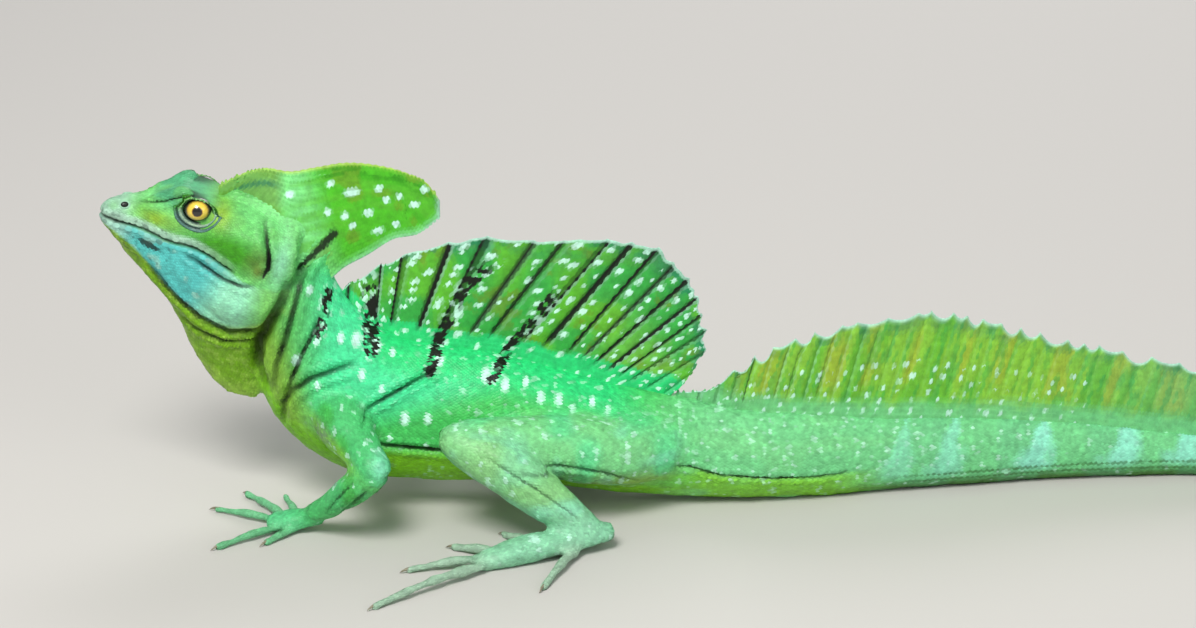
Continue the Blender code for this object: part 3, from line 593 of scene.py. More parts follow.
def round_angles(count):
    """Angles spread evenly round a circle."""
    return np.linspace(0, 2 * math.pi, count, endpoint=False)


def add_object(name, data):
    """A new object of the scene."""
    thing = bpy.data.objects.new(name, data)
    bpy.context.scene.collection.objects.link(thing)
    return thing


def mesh_object(name, points, faces, smooth_faces=True):
    """A mesh object from points in metres, with its faces turned outwards."""
    mesh = bpy.data.meshes.new(name)
    mesh.from_pydata([tuple(point) for point in points], [], [tuple(face) for face in faces])
    shape = bmesh.new()
    shape.from_mesh(mesh)
    bmesh.ops.recalc_face_normals(shape, faces=shape.faces)
    if shape.calc_volume(signed=True) < 0:
        bmesh.ops.reverse_faces(shape, faces=shape.faces)
    shape.to_mesh(mesh)
    shape.free()
    if smooth_faces:
        mesh.shade_smooth()
    return add_object(name, mesh)


def grid_faces(rows, columns):
    """Faces of a tube of rows of points, closed round it and with a fan at each end."""
    here = np.arange(rows - 1)[:, None] * columns + np.arange(columns)[None]
    after = np.arange(rows - 1)[:, None] * columns + (np.arange(columns) + 1)[None] % columns
    quads = np.stack([here, after, after + columns, here + columns], axis=-1).reshape(-1, 4).tolist()
    last = (rows - 1) * columns
    fans = [(side, (side + 1) % columns, rows * columns) for side in range(columns)]
    fans += [(last + side, last + (side + 1) % columns, rows * columns + 1) for side in range(columns)]
    return quads + fans


def tube_object(name, grid):
    """A closed form from a grid of points in the animal's own frame."""
    return mesh_object(name, world(grid_points(grid)), grid_faces(*grid.shape[:2]))


def grid_points(grid):
    """The corners of a tube, with the middle of each end."""
    return np.concatenate([grid.reshape(-1, 3), grid[:1].mean(axis=1), grid[-1:].mean(axis=1)])


def plain_mesh(thing):
    """The object with its modifiers' result as its own mesh."""
    graph = bpy.context.evaluated_depsgraph_get()
    mesh = bpy.data.meshes.new_from_object(thing.evaluated_get(graph))
    thing.modifiers.clear()
    old = thing.data
    thing.data = mesh
    bpy.data.meshes.remove(old)
    mesh.name = thing.name
    return thing


def read_all(items, field, width, kind=float):
    """One field of every item of a mesh, a row for each."""
    values = np.empty(len(items) * width, dtype=kind)
    items.foreach_get(field, values)
    return values.reshape(-1, width)


def points_of(mesh):
    """The corners of a mesh, in the animal's own frame."""
    return own(read_all(mesh.vertices, "co", 3))


def normals_of(mesh):
    """The directions that the corners of a mesh face, in the animal's own frame."""
    return read_all(mesh.vertex_normals, "vector", 3) * MIRROR


def move_points(mesh, points):
    """Put the corners of a mesh at new points of the animal's own frame."""
    mesh.vertices.foreach_set("co", world(points).ravel())
    mesh.update()


def store(mesh, name, kind, values):
    """Keep values for each corner of a mesh under a name."""
    layer = mesh.attributes.new(name, kind, "POINT")
    field = {"FLOAT_COLOR": "color", "FLOAT_VECTOR": "vector", "FLOAT": "value"}[kind]
    if kind == "FLOAT_COLOR":
        values = np.concatenate([values, np.ones((len(values), 1))], axis=1)
    layer.data.foreach_set(field, np.ascontiguousarray(values, dtype=np.float32).ravel())


def coloured(piece, tint, finish):
    """Give a piece its colour at each corner, and its material."""
    store(piece.data, "tint", "FLOAT_COLOR", tint)
    piece.data.materials.append(finish)
    return piece


def ride(thing, slot, *nodes):
    """Fix a finished piece to the animal, in place of the solids that it dresses."""
    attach(thing, BODY)
    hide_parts(*nodes)
    return thing


def body_table():
    """The stations of the body, each after how far along the body it stands."""
    rows = np.array(BODY_STATIONS, dtype=float)
    return np.column_stack([lengths_along((rows[:, :2] + rows[:, 2:4]) / 2), rows])


def between(back, belly, up):
    """A value on a section of the body, from -1 at its belly to 1 at its back."""
    return (back + belly) / 2 + up * (back - belly) / 2


def body_grid(columns=84):
    """Rings of points down the neck, trunk and tail."""
    table = body_table()
    at = np.arange(0, table[-1, 0], SKIN_STEP)
    read = curve(table, at)
    back_x, back_z, belly_x, belly_z, half, side = (read[:, k : k + 1] for k in range(6))
    angles = round_angles(columns)[None]
    up = np.cos(angles)
    starting = 1 - 0.4 * np.maximum(0, 1 - at / 9)[:, None] ** 2
    across = np.sin(angles) * (1 - BACK_NARROWING * up) * starting
    up = up * (1 - (1 - starting) * (up > 0))
    x, z = between(back_x, belly_x, up), between(back_z, belly_z, up)
    return np.stack([x, side + half * across, z], axis=-1)


def from_head(ahead, up, side):
    """A point of the head, from its own axis to the animal's frame."""
    ahead, up, side = np.broadcast_arrays(ahead, up, side)
    x = SNOUT_TIP[0] + ahead * math.cos(HEAD_PITCH) + up * math.sin(HEAD_PITCH)
    z = SNOUT_TIP[1] - ahead * math.sin(HEAD_PITCH) + up * math.cos(HEAD_PITCH)
    return np.stack([x, side, z], axis=-1)


def to_head(points):
    """How far behind the snout's tip and how high over the head's axis points lie."""
    x, z = points[..., 0] - SNOUT_TIP[0], points[..., 2] - SNOUT_TIP[1]
    ahead = x * math.cos(HEAD_PITCH) - z * math.sin(HEAD_PITCH)
    return ahead, x * math.sin(HEAD_PITCH) + z * math.cos(HEAD_PITCH)


def rounded(loops, times=3):
    """Closed loops with more points, on smooth curves through the ones given."""
    before, after, beyond = np.roll(loops, 1, 1), np.roll(loops, -1, 1), np.roll(loops, -2, 1)
    pieces = []
    for share in np.arange(times) / times:
        value = 2 * loops + (after - before) * share
        value = value + (2 * before - 5 * loops + 4 * after - beyond) * share**2
        pieces.append((value + (3 * loops - before - 3 * after + beyond) * share**3) / 2)
    return np.stack(pieces, axis=2).reshape(len(loops), -1, loops.shape[2])


def head_grid():
    """Rings of points from the snout's tip to the back of the jaw."""
    ahead = np.concatenate([[-0.8, -0.4, 0.1], np.arange(0.6, HEAD_LENGTH + 0.1, 0.8)])
    read = [curve(rows, ahead) for rows in (CROWN, BROW, CHEEK, MOUTH, JAW, CHIN)]
    crown, brow, cheek, mouth, jaw, chin = read
    ending = 1 - 0.16 * np.maximum(0, (ahead - HEAD_LENGTH + 5) / 5) ** 2
    widths = [curve(rows, ahead) * ending for rows in (BROW_WIDTH, CHEEK_WIDTH, MOUTH_WIDTH, JAW_WIDTH)]
    brow_width, cheek_width, mouth_width, jaw_width = widths
    size = np.clip((ahead + 0.8) / 6, 0.05, 1)
    half = (
        (0 * crown, crown),
        (brow_width * 0.5, crown * 0.65 + brow * 0.35),
        (brow_width * 0.85, brow - 0.1 * size),
        (brow_width, brow - 0.5 * size),
        (brow_width * 0.45 + cheek_width * 0.55, brow * 0.62 + cheek * 0.38),
        (cheek_width * 0.97, brow * 0.25 + cheek * 0.75),
        (cheek_width, cheek * 0.8 + mouth * 0.2),
        (cheek_width * 0.6 + mouth_width * 0.4, cheek * 0.4 + mouth * 0.6),
        (mouth_width, mouth),
        (jaw_width * 0.75 + mouth_width * 0.25, jaw * 0.62 + mouth * 0.38),
        (jaw_width, jaw),
        (jaw_width * 0.86, jaw * 0.55 + chin * 0.45),
        (jaw_width * 0.6, jaw * 0.22 + chin * 0.78),
        (jaw_width * 0.3, jaw * 0.06 + chin * 0.94),
        (0 * chin, chin),
    )
    half = np.stack([np.stack(pair, axis=-1) for pair in half], axis=1)
    loops = rounded(np.concatenate([half, half[:, -2:0:-1] * (-1, 1)], axis=1), 4)
    return from_head(ahead[:, None], loops[..., 1], loops[..., 0])


def pouch_grid(columns=64):
    """Rings of points down the throat pouch."""
    heights = np.linspace(POUCH_SLICES[0][0], POUCH_SLICES[-1][0], 50)
    front, rear, half = (values[:, None] for values in curve(POUCH_SLICES[::-1], heights).T)
    angles = round_angles(columns)[None]
    ahead = (front + rear) / 2 - np.cos(angles) * (rear - front) / 2
    return from_head(ahead, heights[:, None] + 0 * ahead, np.sin(angles) * half)


def tube_grid(rows, columns, flattening=1.0, swell=None):
    """Rings of points along a smooth tube with rounded ends."""
    rows = np.array(rows, dtype=float)
    places = lengths_along(rows[:, :3])
    samples = np.linspace(0, places[-1], max(6, int(places[-1] / SKIN_STEP)))
    read = curve(np.column_stack([places, rows]), samples)
    centres, radii = read[:, :3], read[:, 3]
    if swell is not None:
        radii = radii * swell(samples / places[-1])
    tangents = unit(np.gradient(centres, samples, axis=0))
    reach = END_ROUNDING * np.array([1.0, 0.8, 0.45])[:, None]
    size = np.sqrt(1 - reach[:, 0] ** 2)
    before = centres[:1] - tangents[:1] * radii[0] * reach
    after = centres[-1:] + tangents[-1:] * radii[-1] * reach[::-1]
    centres = np.concatenate([before, centres, after])
    radii = np.concatenate([radii[0] * size, radii, radii[-1] * size[::-1]])
    tangents = np.concatenate([np.repeat(tangents[:1], 3, 0), tangents, np.repeat(tangents[-1:], 3, 0)])
    across = unit(np.cross(tangents, (0.0, 0.0, 1.0)))[:, None]
    up = np.cross(across[:, 0], tangents)[:, None]
    angles = round_angles(columns)[None, :, None]
    ring = np.cos(angles) * up * flattening + np.sin(angles) * across
    return centres[:, None] + ring * radii[:, None, None]


def paw_place(paw, ahead, out):
    """A place of a hand or foot on the floor, as x and side."""
    x, side, turn, hand = PAWS[paw]
    turn = math.radians(turn)
    forward = ahead * math.cos(turn) - out * math.sin(turn)
    return x - forward, side + hand * (ahead * math.sin(turn) + out * math.cos(turn))


def knuckles(count):
    """A swelling at each joint of a digit."""
    return lambda share: 0.9 + 0.16 * np.abs(np.cos(share * math.pi * count)) ** 3


def paw_grids(paw):
    """The palm or sole and the digits of a hand or foot, with the line of each claw."""
    digits, palm, radius = HAND_DIGITS, HAND_PALM, FINGER_RADIUS
    kinds = ("palm", "finger")
    if paw.endswith("foot"):
        digits, palm, radius = FOOT_DIGITS, FOOT_SOLE, TOE_RADIUS
        kinds = ("sole", "toe")
    rows = [(*paw_place(paw, ahead, out), z, wide) for ahead, out, z, wide in palm]
    grids = [(kinds[0], tube_grid(rows, 40, PALM_FLATTENING))]
    claws = []
    for root_ahead, root_out, tip_ahead, tip_out in digits:
        root = np.array(paw_place(paw, root_ahead, root_out))
        tip = np.array(paw_place(paw, tip_ahead, tip_out))
        length = np.linalg.norm(tip - root)
        rows = (
            (*root, radius[0] * 1.25, radius[0]),
            (*(root + tip) / 2, radius[0] * 0.85 + 0.03 * length, (radius[0] + radius[1]) / 2),
            (*tip, radius[1] * 0.85, radius[1]),
        )
        grids.append((kinds[1], tube_grid(rows, 18, swell=knuckles(max(2, round(length / 11))))))
        claws.append((tip, (tip - root) / length, radius[1]))
    return grids, claws


def casque_sheet(columns, rows):
    """The middle, height share and half thickness of the head crest over a grid."""
    along = np.linspace(CASQUE_TOP[0][0], CASQUE_TOP[-1][0], columns)[None]
    share = np.linspace(0, 1, rows)[:, None]
    teeth = 0.35 * np.abs(np.sin(along * 1.3)) * (share > 0.97)
    top, low = curve(CASQUE_TOP, along[0])[None], curve(CASQUE_LOW, along[0])[None]
    swell = np.maximum(0, 1 - np.abs(share - 0.38) ** 1.6 / 0.45)
    half = 0.42 + (curve(CASQUE_HALF, along[0])[None] - 0.42) * swell
    middle = np.stack([along + 0 * share, 0 * along * share, low + (top - low) * share - teeth], axis=-1)
    return middle, half


def both_faces(middle, half):
    """The left and right face of a thin sheet, from its middle and half thickness."""
    offset = np.stack([0 * half, half, 0 * half], axis=-1)
    return middle + offset, middle - offset


def casque_core(columns=56, rows=24):
    """Rings of points round the thick foot of the head crest, which the skin takes in."""
    middle, half = casque_sheet(columns, rows)
    left, right = both_faces(middle[1:-1, 2:-8], half[1:-1, 2:-8] * 0.96)
    return np.concatenate([left, right[::-1]], axis=0).transpose(1, 0, 2)


def body_forms():
    """Every closed form under the skin: its kind, its grid of points and the side it is on."""
    forms = [
        ("body", body_grid()),
        ("head", head_grid()),
        ("pouch", pouch_grid()),
        ("casque", casque_core()),
    ]
    claws = []
    chains = {
        "left": (LEFT_UPPER_ARM, LEFT_FOREARM, LEFT_THIGH, LEFT_SHANK),
        "right": (RIGHT_UPPER_ARM, RIGHT_FOREARM, RIGHT_THIGH, RIGHT_SHANK),
    }
    for side, rows in chains.items():
        for kind, line in zip(("upper_arm", "forearm", "thigh", "shank"), rows):
            forms.append((kind, tube_grid(line, 48)))
        for paw in (side + "_hand", side + "_foot"):
            grids, tips = paw_grids(paw)
            forms += grids
            claws += tips
    return forms, claws


def point_tree(points):
    """A tree that finds the nearest of some points."""
    tree = KDTree(len(points))
    for number, point in enumerate(points.tolist()):
        tree.insert(point, number)
    tree.balance()
    return tree


class Lookup:
    """Finds, for points near the skin, the form that they belong to."""

    def __init__(self, forms):
        self.kinds = np.array([kind for kind, grid in forms])
        counts = [grid[..., 0].size for kind, grid in forms]
        self.form = np.repeat(np.arange(len(forms)), counts)
        self.tree = point_tree(np.concatenate([grid.reshape(-1, 3) for kind, grid in forms]))

    def find(self, points):
        """The number of each point's form."""
        return self.form[[self.tree.find(point)[1] for point in points.tolist()]]


def share_of_kinds(kinds, edges, rounds):
    """How much each corner of the skin belongs to each kind of form, blended over their borders."""
    share = (kinds[:, None] == np.array(KIND_ORDER)[None]).astype(float)
    for _ in range(rounds):
        share = (share + mean_of_neighbours(edges, len(share), share)) / 2
    return share


def part_of(share, *kinds):
    """The share of some kinds of form together."""
    return share[:, [KIND_ORDER.index(kind) for kind in kinds]].sum(axis=1)


def settle(points, numbers, forms, border):
    """Bring points away from the borders back onto the form that they belong to."""
    for number, (kind, grid) in enumerate(forms):
        tree = BVHTree.FromPolygons(grid_points(grid).tolist(), grid_faces(*grid.shape[:2]))
        for here in np.flatnonzero((numbers == number) & (border < 1)):
            near = np.array(tree.find_nearest(points[here].tolist())[0])
            points[here] += (near - points[here]) * (1 - border[here])
    return points


def refine(mesh, chosen):
    """Split the edges between chosen corners in two, so that folds there come out finer."""
    shape = bmesh.new()
    shape.from_mesh(mesh)
    edges = [edge for edge in shape.edges if chosen[edge.verts[0].index] and chosen[edge.verts[1].index]]
    bmesh.ops.subdivide_edges(shape, edges=edges, cuts=1, use_grid_fill=True)
    bmesh.ops.triangulate(shape, faces=shape.faces)
    shape.to_mesh(mesh)
    shape.free()


def mean_of_neighbours(edges, count, values):
    """For each corner, the mean of values over the corners that share an edge with it."""
    links = np.bincount(edges.ravel(), minlength=count)
    total = np.empty_like(values)
    for axis in range(values.shape[1]):
        total[:, axis] = np.bincount(edges[:, 0], values[edges[:, 1], axis], count)
        total[:, axis] += np.bincount(edges[:, 1], values[edges[:, 0], axis], count)
    return total / np.maximum(links, 1)[:, None]


def edges_of(mesh):
    """The two corners of every edge of a mesh."""
    return read_all(mesh.edges, "vertices", 2, np.int64)


def soften(mesh, weight, rounds):
    """Even out a surface where the weight is high, without making it thinner."""
    edges, points = edges_of(mesh), points_of(mesh)
    for _ in range(rounds):
        for factor in (0.5, -0.52):
            step = mean_of_neighbours(edges, len(points), points) - points
            points = points + step * weight[:, None] * factor
    move_points(mesh, points)


def fold(flat, lines, keep):
    """How deep folds press in at flat points, and how much painted shade darkens them."""
    depth, dark = np.zeros(len(flat)), np.zeros(len(flat))
    for deep, width, line in lines:
        distance, place = along_line(flat, line)
        taper = np.clip(5 * place * (1 - place), 0.02, 1) ** 0.5 * keep
        depth += taper * deep * (bump(distance, width) - 0.4 * bump(distance - 2.2 * width, width))
        # Painted shade: a dark line along each fold, where shade falls in the crease.
        dark = np.maximum(dark, taper * smooth(1.5, 0.5, distance / (width * (0.37 + 0.27 * deep))))
    return depth, dark


def fold_depth(points, share):
    """The depth of every fold of the skin and the painted shade in it, by how much of each part is there."""
    side, from_side = points[:, 1], points[:, (0, 2)]
    from_head_axis = np.stack(to_head(points), axis=1)
    trunk = part_of(share, "body", "casque", "head", "pouch", "upper_arm") * smooth(2, 5, np.abs(side))
    legs = part_of(share, "forearm", "thigh", "shank") * smooth(16, 20, side)
    head = part_of(share, "head") * smooth(3, 6, np.abs(side))
    groups = (
        (from_side, BODY_FOLDS, trunk, 1.0),
        (from_side, LIMB_FOLDS, legs, 0.7),
        (from_head_axis, HEAD_FOLDS, head, 1.0),
        (from_head_axis, POUCH_FOLDS, part_of(share, "pouch", "head"), 1.0),
    )
    depth, dark = np.zeros(len(points)), np.zeros(len(points))
    for flat, lines, keep, darkness in groups:
        more, darker = fold(flat, lines, keep)
        depth, dark = depth + more, np.maximum(dark, darkness * darker)
    return depth, dark


def mouth_height(points):
    """How far over the line of the mouth points lie, and how much of a mouth there is there."""
    ahead, up = to_head(points)
    open_part = smooth(-3, 2, ahead) * (1 - smooth(MOUTH_CORNER - 4, MOUTH_CORNER + 0.5, ahead))
    return up - curve(MOUTH, ahead), open_part


def from_ear(ahead, up):
    """Distance from the ear's middle, as a share of its reach."""
    return np.hypot((ahead - EAR_PLACE[0]) / EAR_REACH[0], (up - EAR_PLACE[1]) / EAR_REACH[1])


def shape_skin(points, normals, share):
    """Press folds, the mouth and the ears into the skin, and lay it inside by its scales' depth."""
    head = part_of(share, "head")
    depth = fold_depth(points, share)[0]
    height, mouth = mouth_height(points)
    lips = 0.9 * bump(height, 0.6) - 0.5 * bump(height - 1.7, 1.1) - 0.4 * bump(height + 1.8, 1.1)
    depth += head * mouth * lips
    ahead, up = to_head(points)
    on_side = smooth(6, 10, np.abs(points[:, 1]))
    depth += head * on_side * 1.1 * bump(from_ear(ahead, up), 0.8)
    depth -= head * on_side * 1.5 * blob(ahead, up, (50, -18), (9, 6.5))
    depth -= head * on_side * 0.8 * blob(ahead, up, (43, 2), (7, 6))
    depth -= head * 1.2 * blob(ahead, up, (28.5, 16.2), (8, 2.4))
    depth += head * on_side * 0.8 * blob(ahead, up, (61, 8), (3, 5))
    depth += head * on_side * 1.7 * blob(ahead, up, (31, 8.8), (6.2, 5.2)) * smooth(14.5, 11.5, up)

    depth += 0.16 * noise(points, 2.6, 5) + 0.25 * noise(points, 7, 6)
    points = points - normals * (depth + SCALE_DEPTH)[:, None]
    points[:, 2] = np.maximum(points[:, 2], SCALE_DEPTH)
    return points


def make_skin(forms):
    """One skin over the head, neck, trunk, tail and legs, with its folds."""
    shells = [tube_object(f"form_{number}", grid) for number, (kind, grid) in enumerate(forms)]
    skin = shells[0]
    skin.name = "skin"
    with bpy.context.temp_override(active_object=skin, selected_editable_objects=shells):
        bpy.ops.object.join()
    remesh = skin.modifiers.new("one skin", "REMESH")
    remesh.mode = "VOXEL"
    remesh.voxel_size = SKIN_VOXEL * MM
    plain_mesh(skin)
    lookup = Lookup(forms)
    numbers = lookup.find(points_of(skin.data))
    kinds = lookup.kinds[numbers]
    edges = edges_of(skin.data)
    border = 1 - smooth(0.55, 0.96, share_of_kinds(kinds, edges, 26).max(axis=1))
    digits = np.isin(kinds, ("finger", "toe"))
    border *= np.where(digits, 0.25, np.where(np.isin(kinds, ("palm", "sole")), 0.6, 1.0))
    soften(skin.data, np.where(digits, 0.2, 1.0), 5)
    points = settle(points_of(skin.data), numbers, forms, border)
    for _ in range(BORDER_ROUNDS):
        points += (mean_of_neighbours(edges, len(points), points) - points) * border[:, None] * 0.8
    move_points(skin.data, points)
    refine(skin.data, np.isin(kinds, ("head", "finger", "toe")))
    soften(skin.data, np.ones(len(skin.data.vertices)), 2)
    kinds = lookup.kinds[lookup.find(points_of(skin.data))]
    share = share_of_kinds(kinds, edges_of(skin.data), 12)
    move_points(skin.data, shape_skin(points_of(skin.data), normals_of(skin.data), share))
    thinning = skin.modifiers.new("thinning", "DECIMATE")
    thinning.ratio = min(1.0, SKIN_LIMIT / len(skin.data.polygons))
    plain_mesh(skin)
    skin.data.shade_smooth()
    return skin, lookup


def mixed(base, other, share):
    """A colour turned towards another by a share at each point."""
    return base + (other - base) * np.clip(share, 0, 1)[:, None]


def painted(tint, *layers):
    """A colour turned towards others in their order, each by its share at each point."""
    for other, share in layers:
        tint = mixed(tint, other, share)
    return tint


def all_over(values, points):
    """The same values for every point."""
    return np.tile(values, (len(points), 1))


def blob(first, second, centre, reach):
    """1 at the centre of an oval patch, and 0 outside it."""
    return bump(np.hypot((first - centre[0]) / reach[0], (second - centre[1]) / reach[1]), 1.0)


def head_tint(points):
    """The colours of the head and throat: pale lips, turquoise jaw, green cheek, yellow lore, with partly
    painted highlights on the jowl and the pouch's front edge, a painted highlight behind the ear, and a
    painted shadow behind the pouch.
    """
    ahead, up = to_head(points)
    height, mouth = mouth_height(points)
    tint = all_over(TEMPLE, points)
    tint = painted(
        tint,
        (CHEEK_GREEN, 1.15 * blob(ahead, up, (42, 0.5), (16, 9))),
        (CHEEK_GREEN, 0.5 * blob(ahead, up, (37, 12.5), (5, 5))),
        (CROWN_GREEN, smooth(8.5, 12.5, up + 0.1 * (ahead - 20)) * (1 - smooth(28, 40, ahead))),
        (CHEEK_GREEN, 0.5 * blob(ahead, up, (14, 6.0), (7, 1.6))),
        (SNOUT, 1 - smooth(5, 13, ahead)),
        (LORE_YELLOW, 0.9 * blob(ahead, up, (18.5, 4.2), (7, 3.0))),
        (LORE_YELLOW, 0.7 * blob(ahead, up, (38, 10.5), (4, 3.5))),
        (JAW_GREEN, 0.4 * smooth(0.1, 0.6, noise(points, 6, 61))),
    )
    lip = smooth(-0.5, 0.5, height) * (1 - smooth(2.2, 4.2, height)) * mouth
    tint = mixed(tint, LIP_PALE, (0.9 - 0.6 * smooth(28, 44, ahead)) * lip)
    jaw = all_over(JAW_TURQUOISE, points)
    jaw = painted(
        jaw,
        # The jaw's pale rear, partly its own colour and partly a painted highlight on the jowl's bulge.
        (JAW_PALE_AND_HIGHLIGHT, smooth(34, 47, ahead - 0.4 * (up + 15))),
        (LIP_PALE, 0.8 * (1 - smooth(4, 14, ahead))),
        (JAW_GREEN, smooth(50, 60, ahead)),
        (LIP_PALE, 0.5 * smooth(0.2, 0.6, noise(points, 3.0, 62)) * (1 - smooth(34, 48, ahead))),
    )
    below = curve(JAW_EDGE, ahead) - up
    jaw = mixed(jaw, POUCH_EDGE, 0.6 * smooth(3.5, 0.5, -below) * smooth(40, 52, ahead))
    tint = mixed(tint, jaw, 1 - smooth(-1.2, 0.2, height))
    throat = all_over(POUCH_GREEN, points)
    throat = painted(
        throat,
        # The pouch's pale front edge, partly its own colour and partly a painted highlight.
        (POUCH_EDGE, 0.85 * smooth(4.5, 0.5, np.abs(points[:, 1]))),
        (POUCH_EDGE, 0.4 * smooth(0.0, 0.5, noise(points, 1.6, 63))),
        # Painted shadow where the pouch's rear meets the neck.
        (POUCH_GREEN * 0.4, 0.8 * smooth(56, 66, ahead) * smooth(-45, -34, up)),
    )
    tint = mixed(tint, throat, smooth(-0.6, 0.9, below))
    # Painted highlight behind the ear.
    return mixed(tint, JAW_PALE_AND_HIGHLIGHT * 0.95, 0.8 * blob(ahead, up, (61, 1), (3, 8)))


def casque_groove_shade(points):
    """How much painted shade each point takes from the groove under the head crest."""
    distance, place = along_line(points[:, (0, 2)], CASQUE_GROOVE)
    return smooth(1.3, 0.6, distance / (0.8 + 0.8 * place))


def ground_tint(points, share):
    """The colour of the ground under all markings, by form and place."""
    x, z = points[:, 0], points[:, 2]
    body = all_over(MINT, points)
    back = back_line(x)[:, 0]
    body = painted(
        body,
        (FLANK_LOW, smooth(44, 32, z - 0.25 * (x + 80)) * 0.9),
        (BACK_MINT, smooth(14, 4, back - z) * smooth(-96, -84, x) * (1 - smooth(-14, 8, x))),
        (NECK_GREEN, (1 - smooth(-116, -100, x)) * 0.8),
        (LORE_YELLOW, 0.7 * (1 - smooth(-124, -112, x + 0.3 * (z - 60)))),
    )
    belly_line = np.interp(x, (-130, -118, -92, -60, -20, 10), (60, 34, 25, 23, 14, 8))
    body = mixed(body, BELLY, 1 - smooth(-2.5, 2.5, z - belly_line))
    tail = mixed(all_over(TAIL_SIDE, points), TAIL_UNDER, 1 - smooth(1.5, 6, z))
    below_fold = np.interp(x, (5, 16.7, 27, 45, 60, 73), (19, 16.3, 12.7, 10.3, 9.7, 10.5)) - z
    tail = mixed(tail, BELLY, 0.85 * smooth(-1.0, 1.5, below_fold) * (1 - smooth(60, 90, x)))
    bands = smooth(-0.2, 0.5, np.sin((x - 90) * 2 * math.pi / 31)) * smooth(70, 110, x)
    tail = mixed(tail, TAIL_BAND, 0.25 * bands)
    cloudy = smooth(0.0, 0.5, noise(points * (0.5, 1, 1.6), 8, 64))
    tail = mixed(tail, THIGH, 0.6 * cloudy * (1 - smooth(60, 110, x)))
    body = mixed(body, tail, smooth(-4, 26, x))
    thigh = mixed(all_over(THIGH, points), THIGH_UNDER, 0.9 * (1 - smooth(13, 21, z + 0.1 * x)))
    thigh = mixed(thigh, MINT, 0.5 * smooth(0.0, 0.6, noise(points, 9, 65)))
    arm = mixed(all_over(ARM, points), ARM_FRONT, 0.7 * smooth(0.1, 0.6, noise(points, 8, 66)))
    upper_arm = mixed(arm, ARM_YELLOW, 0.85 * smooth(0.5, 5, -0.57 * (x + 102) - 0.82 * (z - 38)))
    shank = mixed(all_over(SHANK, points), THIGH_UNDER, 0.35 * smooth(-0.2, 0.5, noise(points, 10, 67)))
    shank = mixed(shank, SOLE, 1 - smooth(9, 22, z))
    casque = mixed(all_over(TEMPLE, points), CASQUE_GREEN, smooth(-112, -98, x))
    casque = mixed(casque, CHEEK_GREEN, 0.6 * (1 - smooth(-132, -118, x)) * smooth(100, 108, z))
    head = head_tint(points)
    tints = {
        "head": head,
        "pouch": head,
        "casque": casque,
        "body": body,
        "upper_arm": upper_arm,
        "forearm": mixed(arm, ARM_LOW, 1 - smooth(6, 20, z)),
        "palm": HAND,
        "finger": FINGER,
        "thigh": thigh,
        "shank": shank,
        "sole": SOLE,
        "toe": TOE,
    }
    return sum(tints[kind] * share[:, number : number + 1] for number, kind in enumerate(KIND_ORDER))


def spot_centres():
    """Where small pale spots sit along the rear of the body and the tail: the place and the half height."""
    draw = np.random.default_rng(11)
    found = []
    table = body_table()
    for level, step, size in SPOT_ROWS:
        place = SPOTTED_REACH[0] + draw.uniform(0, 5)
        while place < SPOTTED_REACH[1]:
            back_x, back_z, belly_x, belly_z, half, middle = curve(table, place)[0]
            up = np.clip(level + draw.normal(0, 0.12), -0.9, 0.95)
            across = math.sqrt(1 - up * up) * (1 - BACK_NARROWING * up)
            x, z = between(back_x, belly_x, up), between(back_z, belly_z, up)
            for hand in (-1, 1):
                found.append((x, middle + hand * half * across, z, size * draw.uniform(0.7, 1.2)))
            place += step * draw.uniform(0.6, 1.4)
    return np.array(found)


def paleness(points, spots, spot_tree):
    """How pale the spots and flecks of the body make each point."""
    x, side, z = points.T
    near = np.array([spot_tree.find(point)[1] for point in points.tolist()])
    gap = points - spots[near, :3]
    span = np.sqrt((gap[:, 0] ** 2 + gap[:, 1] ** 2) * 1.9 + gap[:, 2] ** 2) / spots[near, 3]
    pale = 0.55 * (1 - smooth(0.5, 1.3, span))
    for centre_x, centre_z, size in FLANK_SPOTS:
        span = np.hypot((x - centre_x) / 0.66, z - centre_z) / (size * 1.25)
        pale = np.maximum(pale, (1 - smooth(0.5, 1.25, span)) * smooth(5, 8, np.abs(side)))
    flecks = smooth(0.56, 0.72, noise(points * (1.4, 1.4, 1), 2.1, 20))
    return np.maximum(pale, 0.34 * flecks * smooth(-100, -60, x))


def tail_marks(points):
    """How much each point lies in a turquoise patch of the tail, and in a dark line low on its side."""
    x, z = points[:, 0], points[:, 2]
    patch = np.zeros(len(points))
    reach = 9 * np.clip((27 - z) / 20, 0.15, 1) * (0.8 + 0.4 * noise(points, 3, 25))
    for place in TAIL_PATCHES:
        patch = np.maximum(patch, smooth(1.4, 0.3, np.abs(x - place - 0.25 * z) / reach) * smooth(4, 8, z))
    lines = smooth(0.1, 0.8, np.cos((z - 4.4) * 2 * math.pi / 2.3)) * smooth(3, 3.6, z) * smooth(8.4, 7.6, z)
    patch = (0.45 + 0.4 * smooth(90, 130, x)) * patch
    return patch, 0.6 * lines * smooth(78, 100, x) * smooth(260, 200, x)


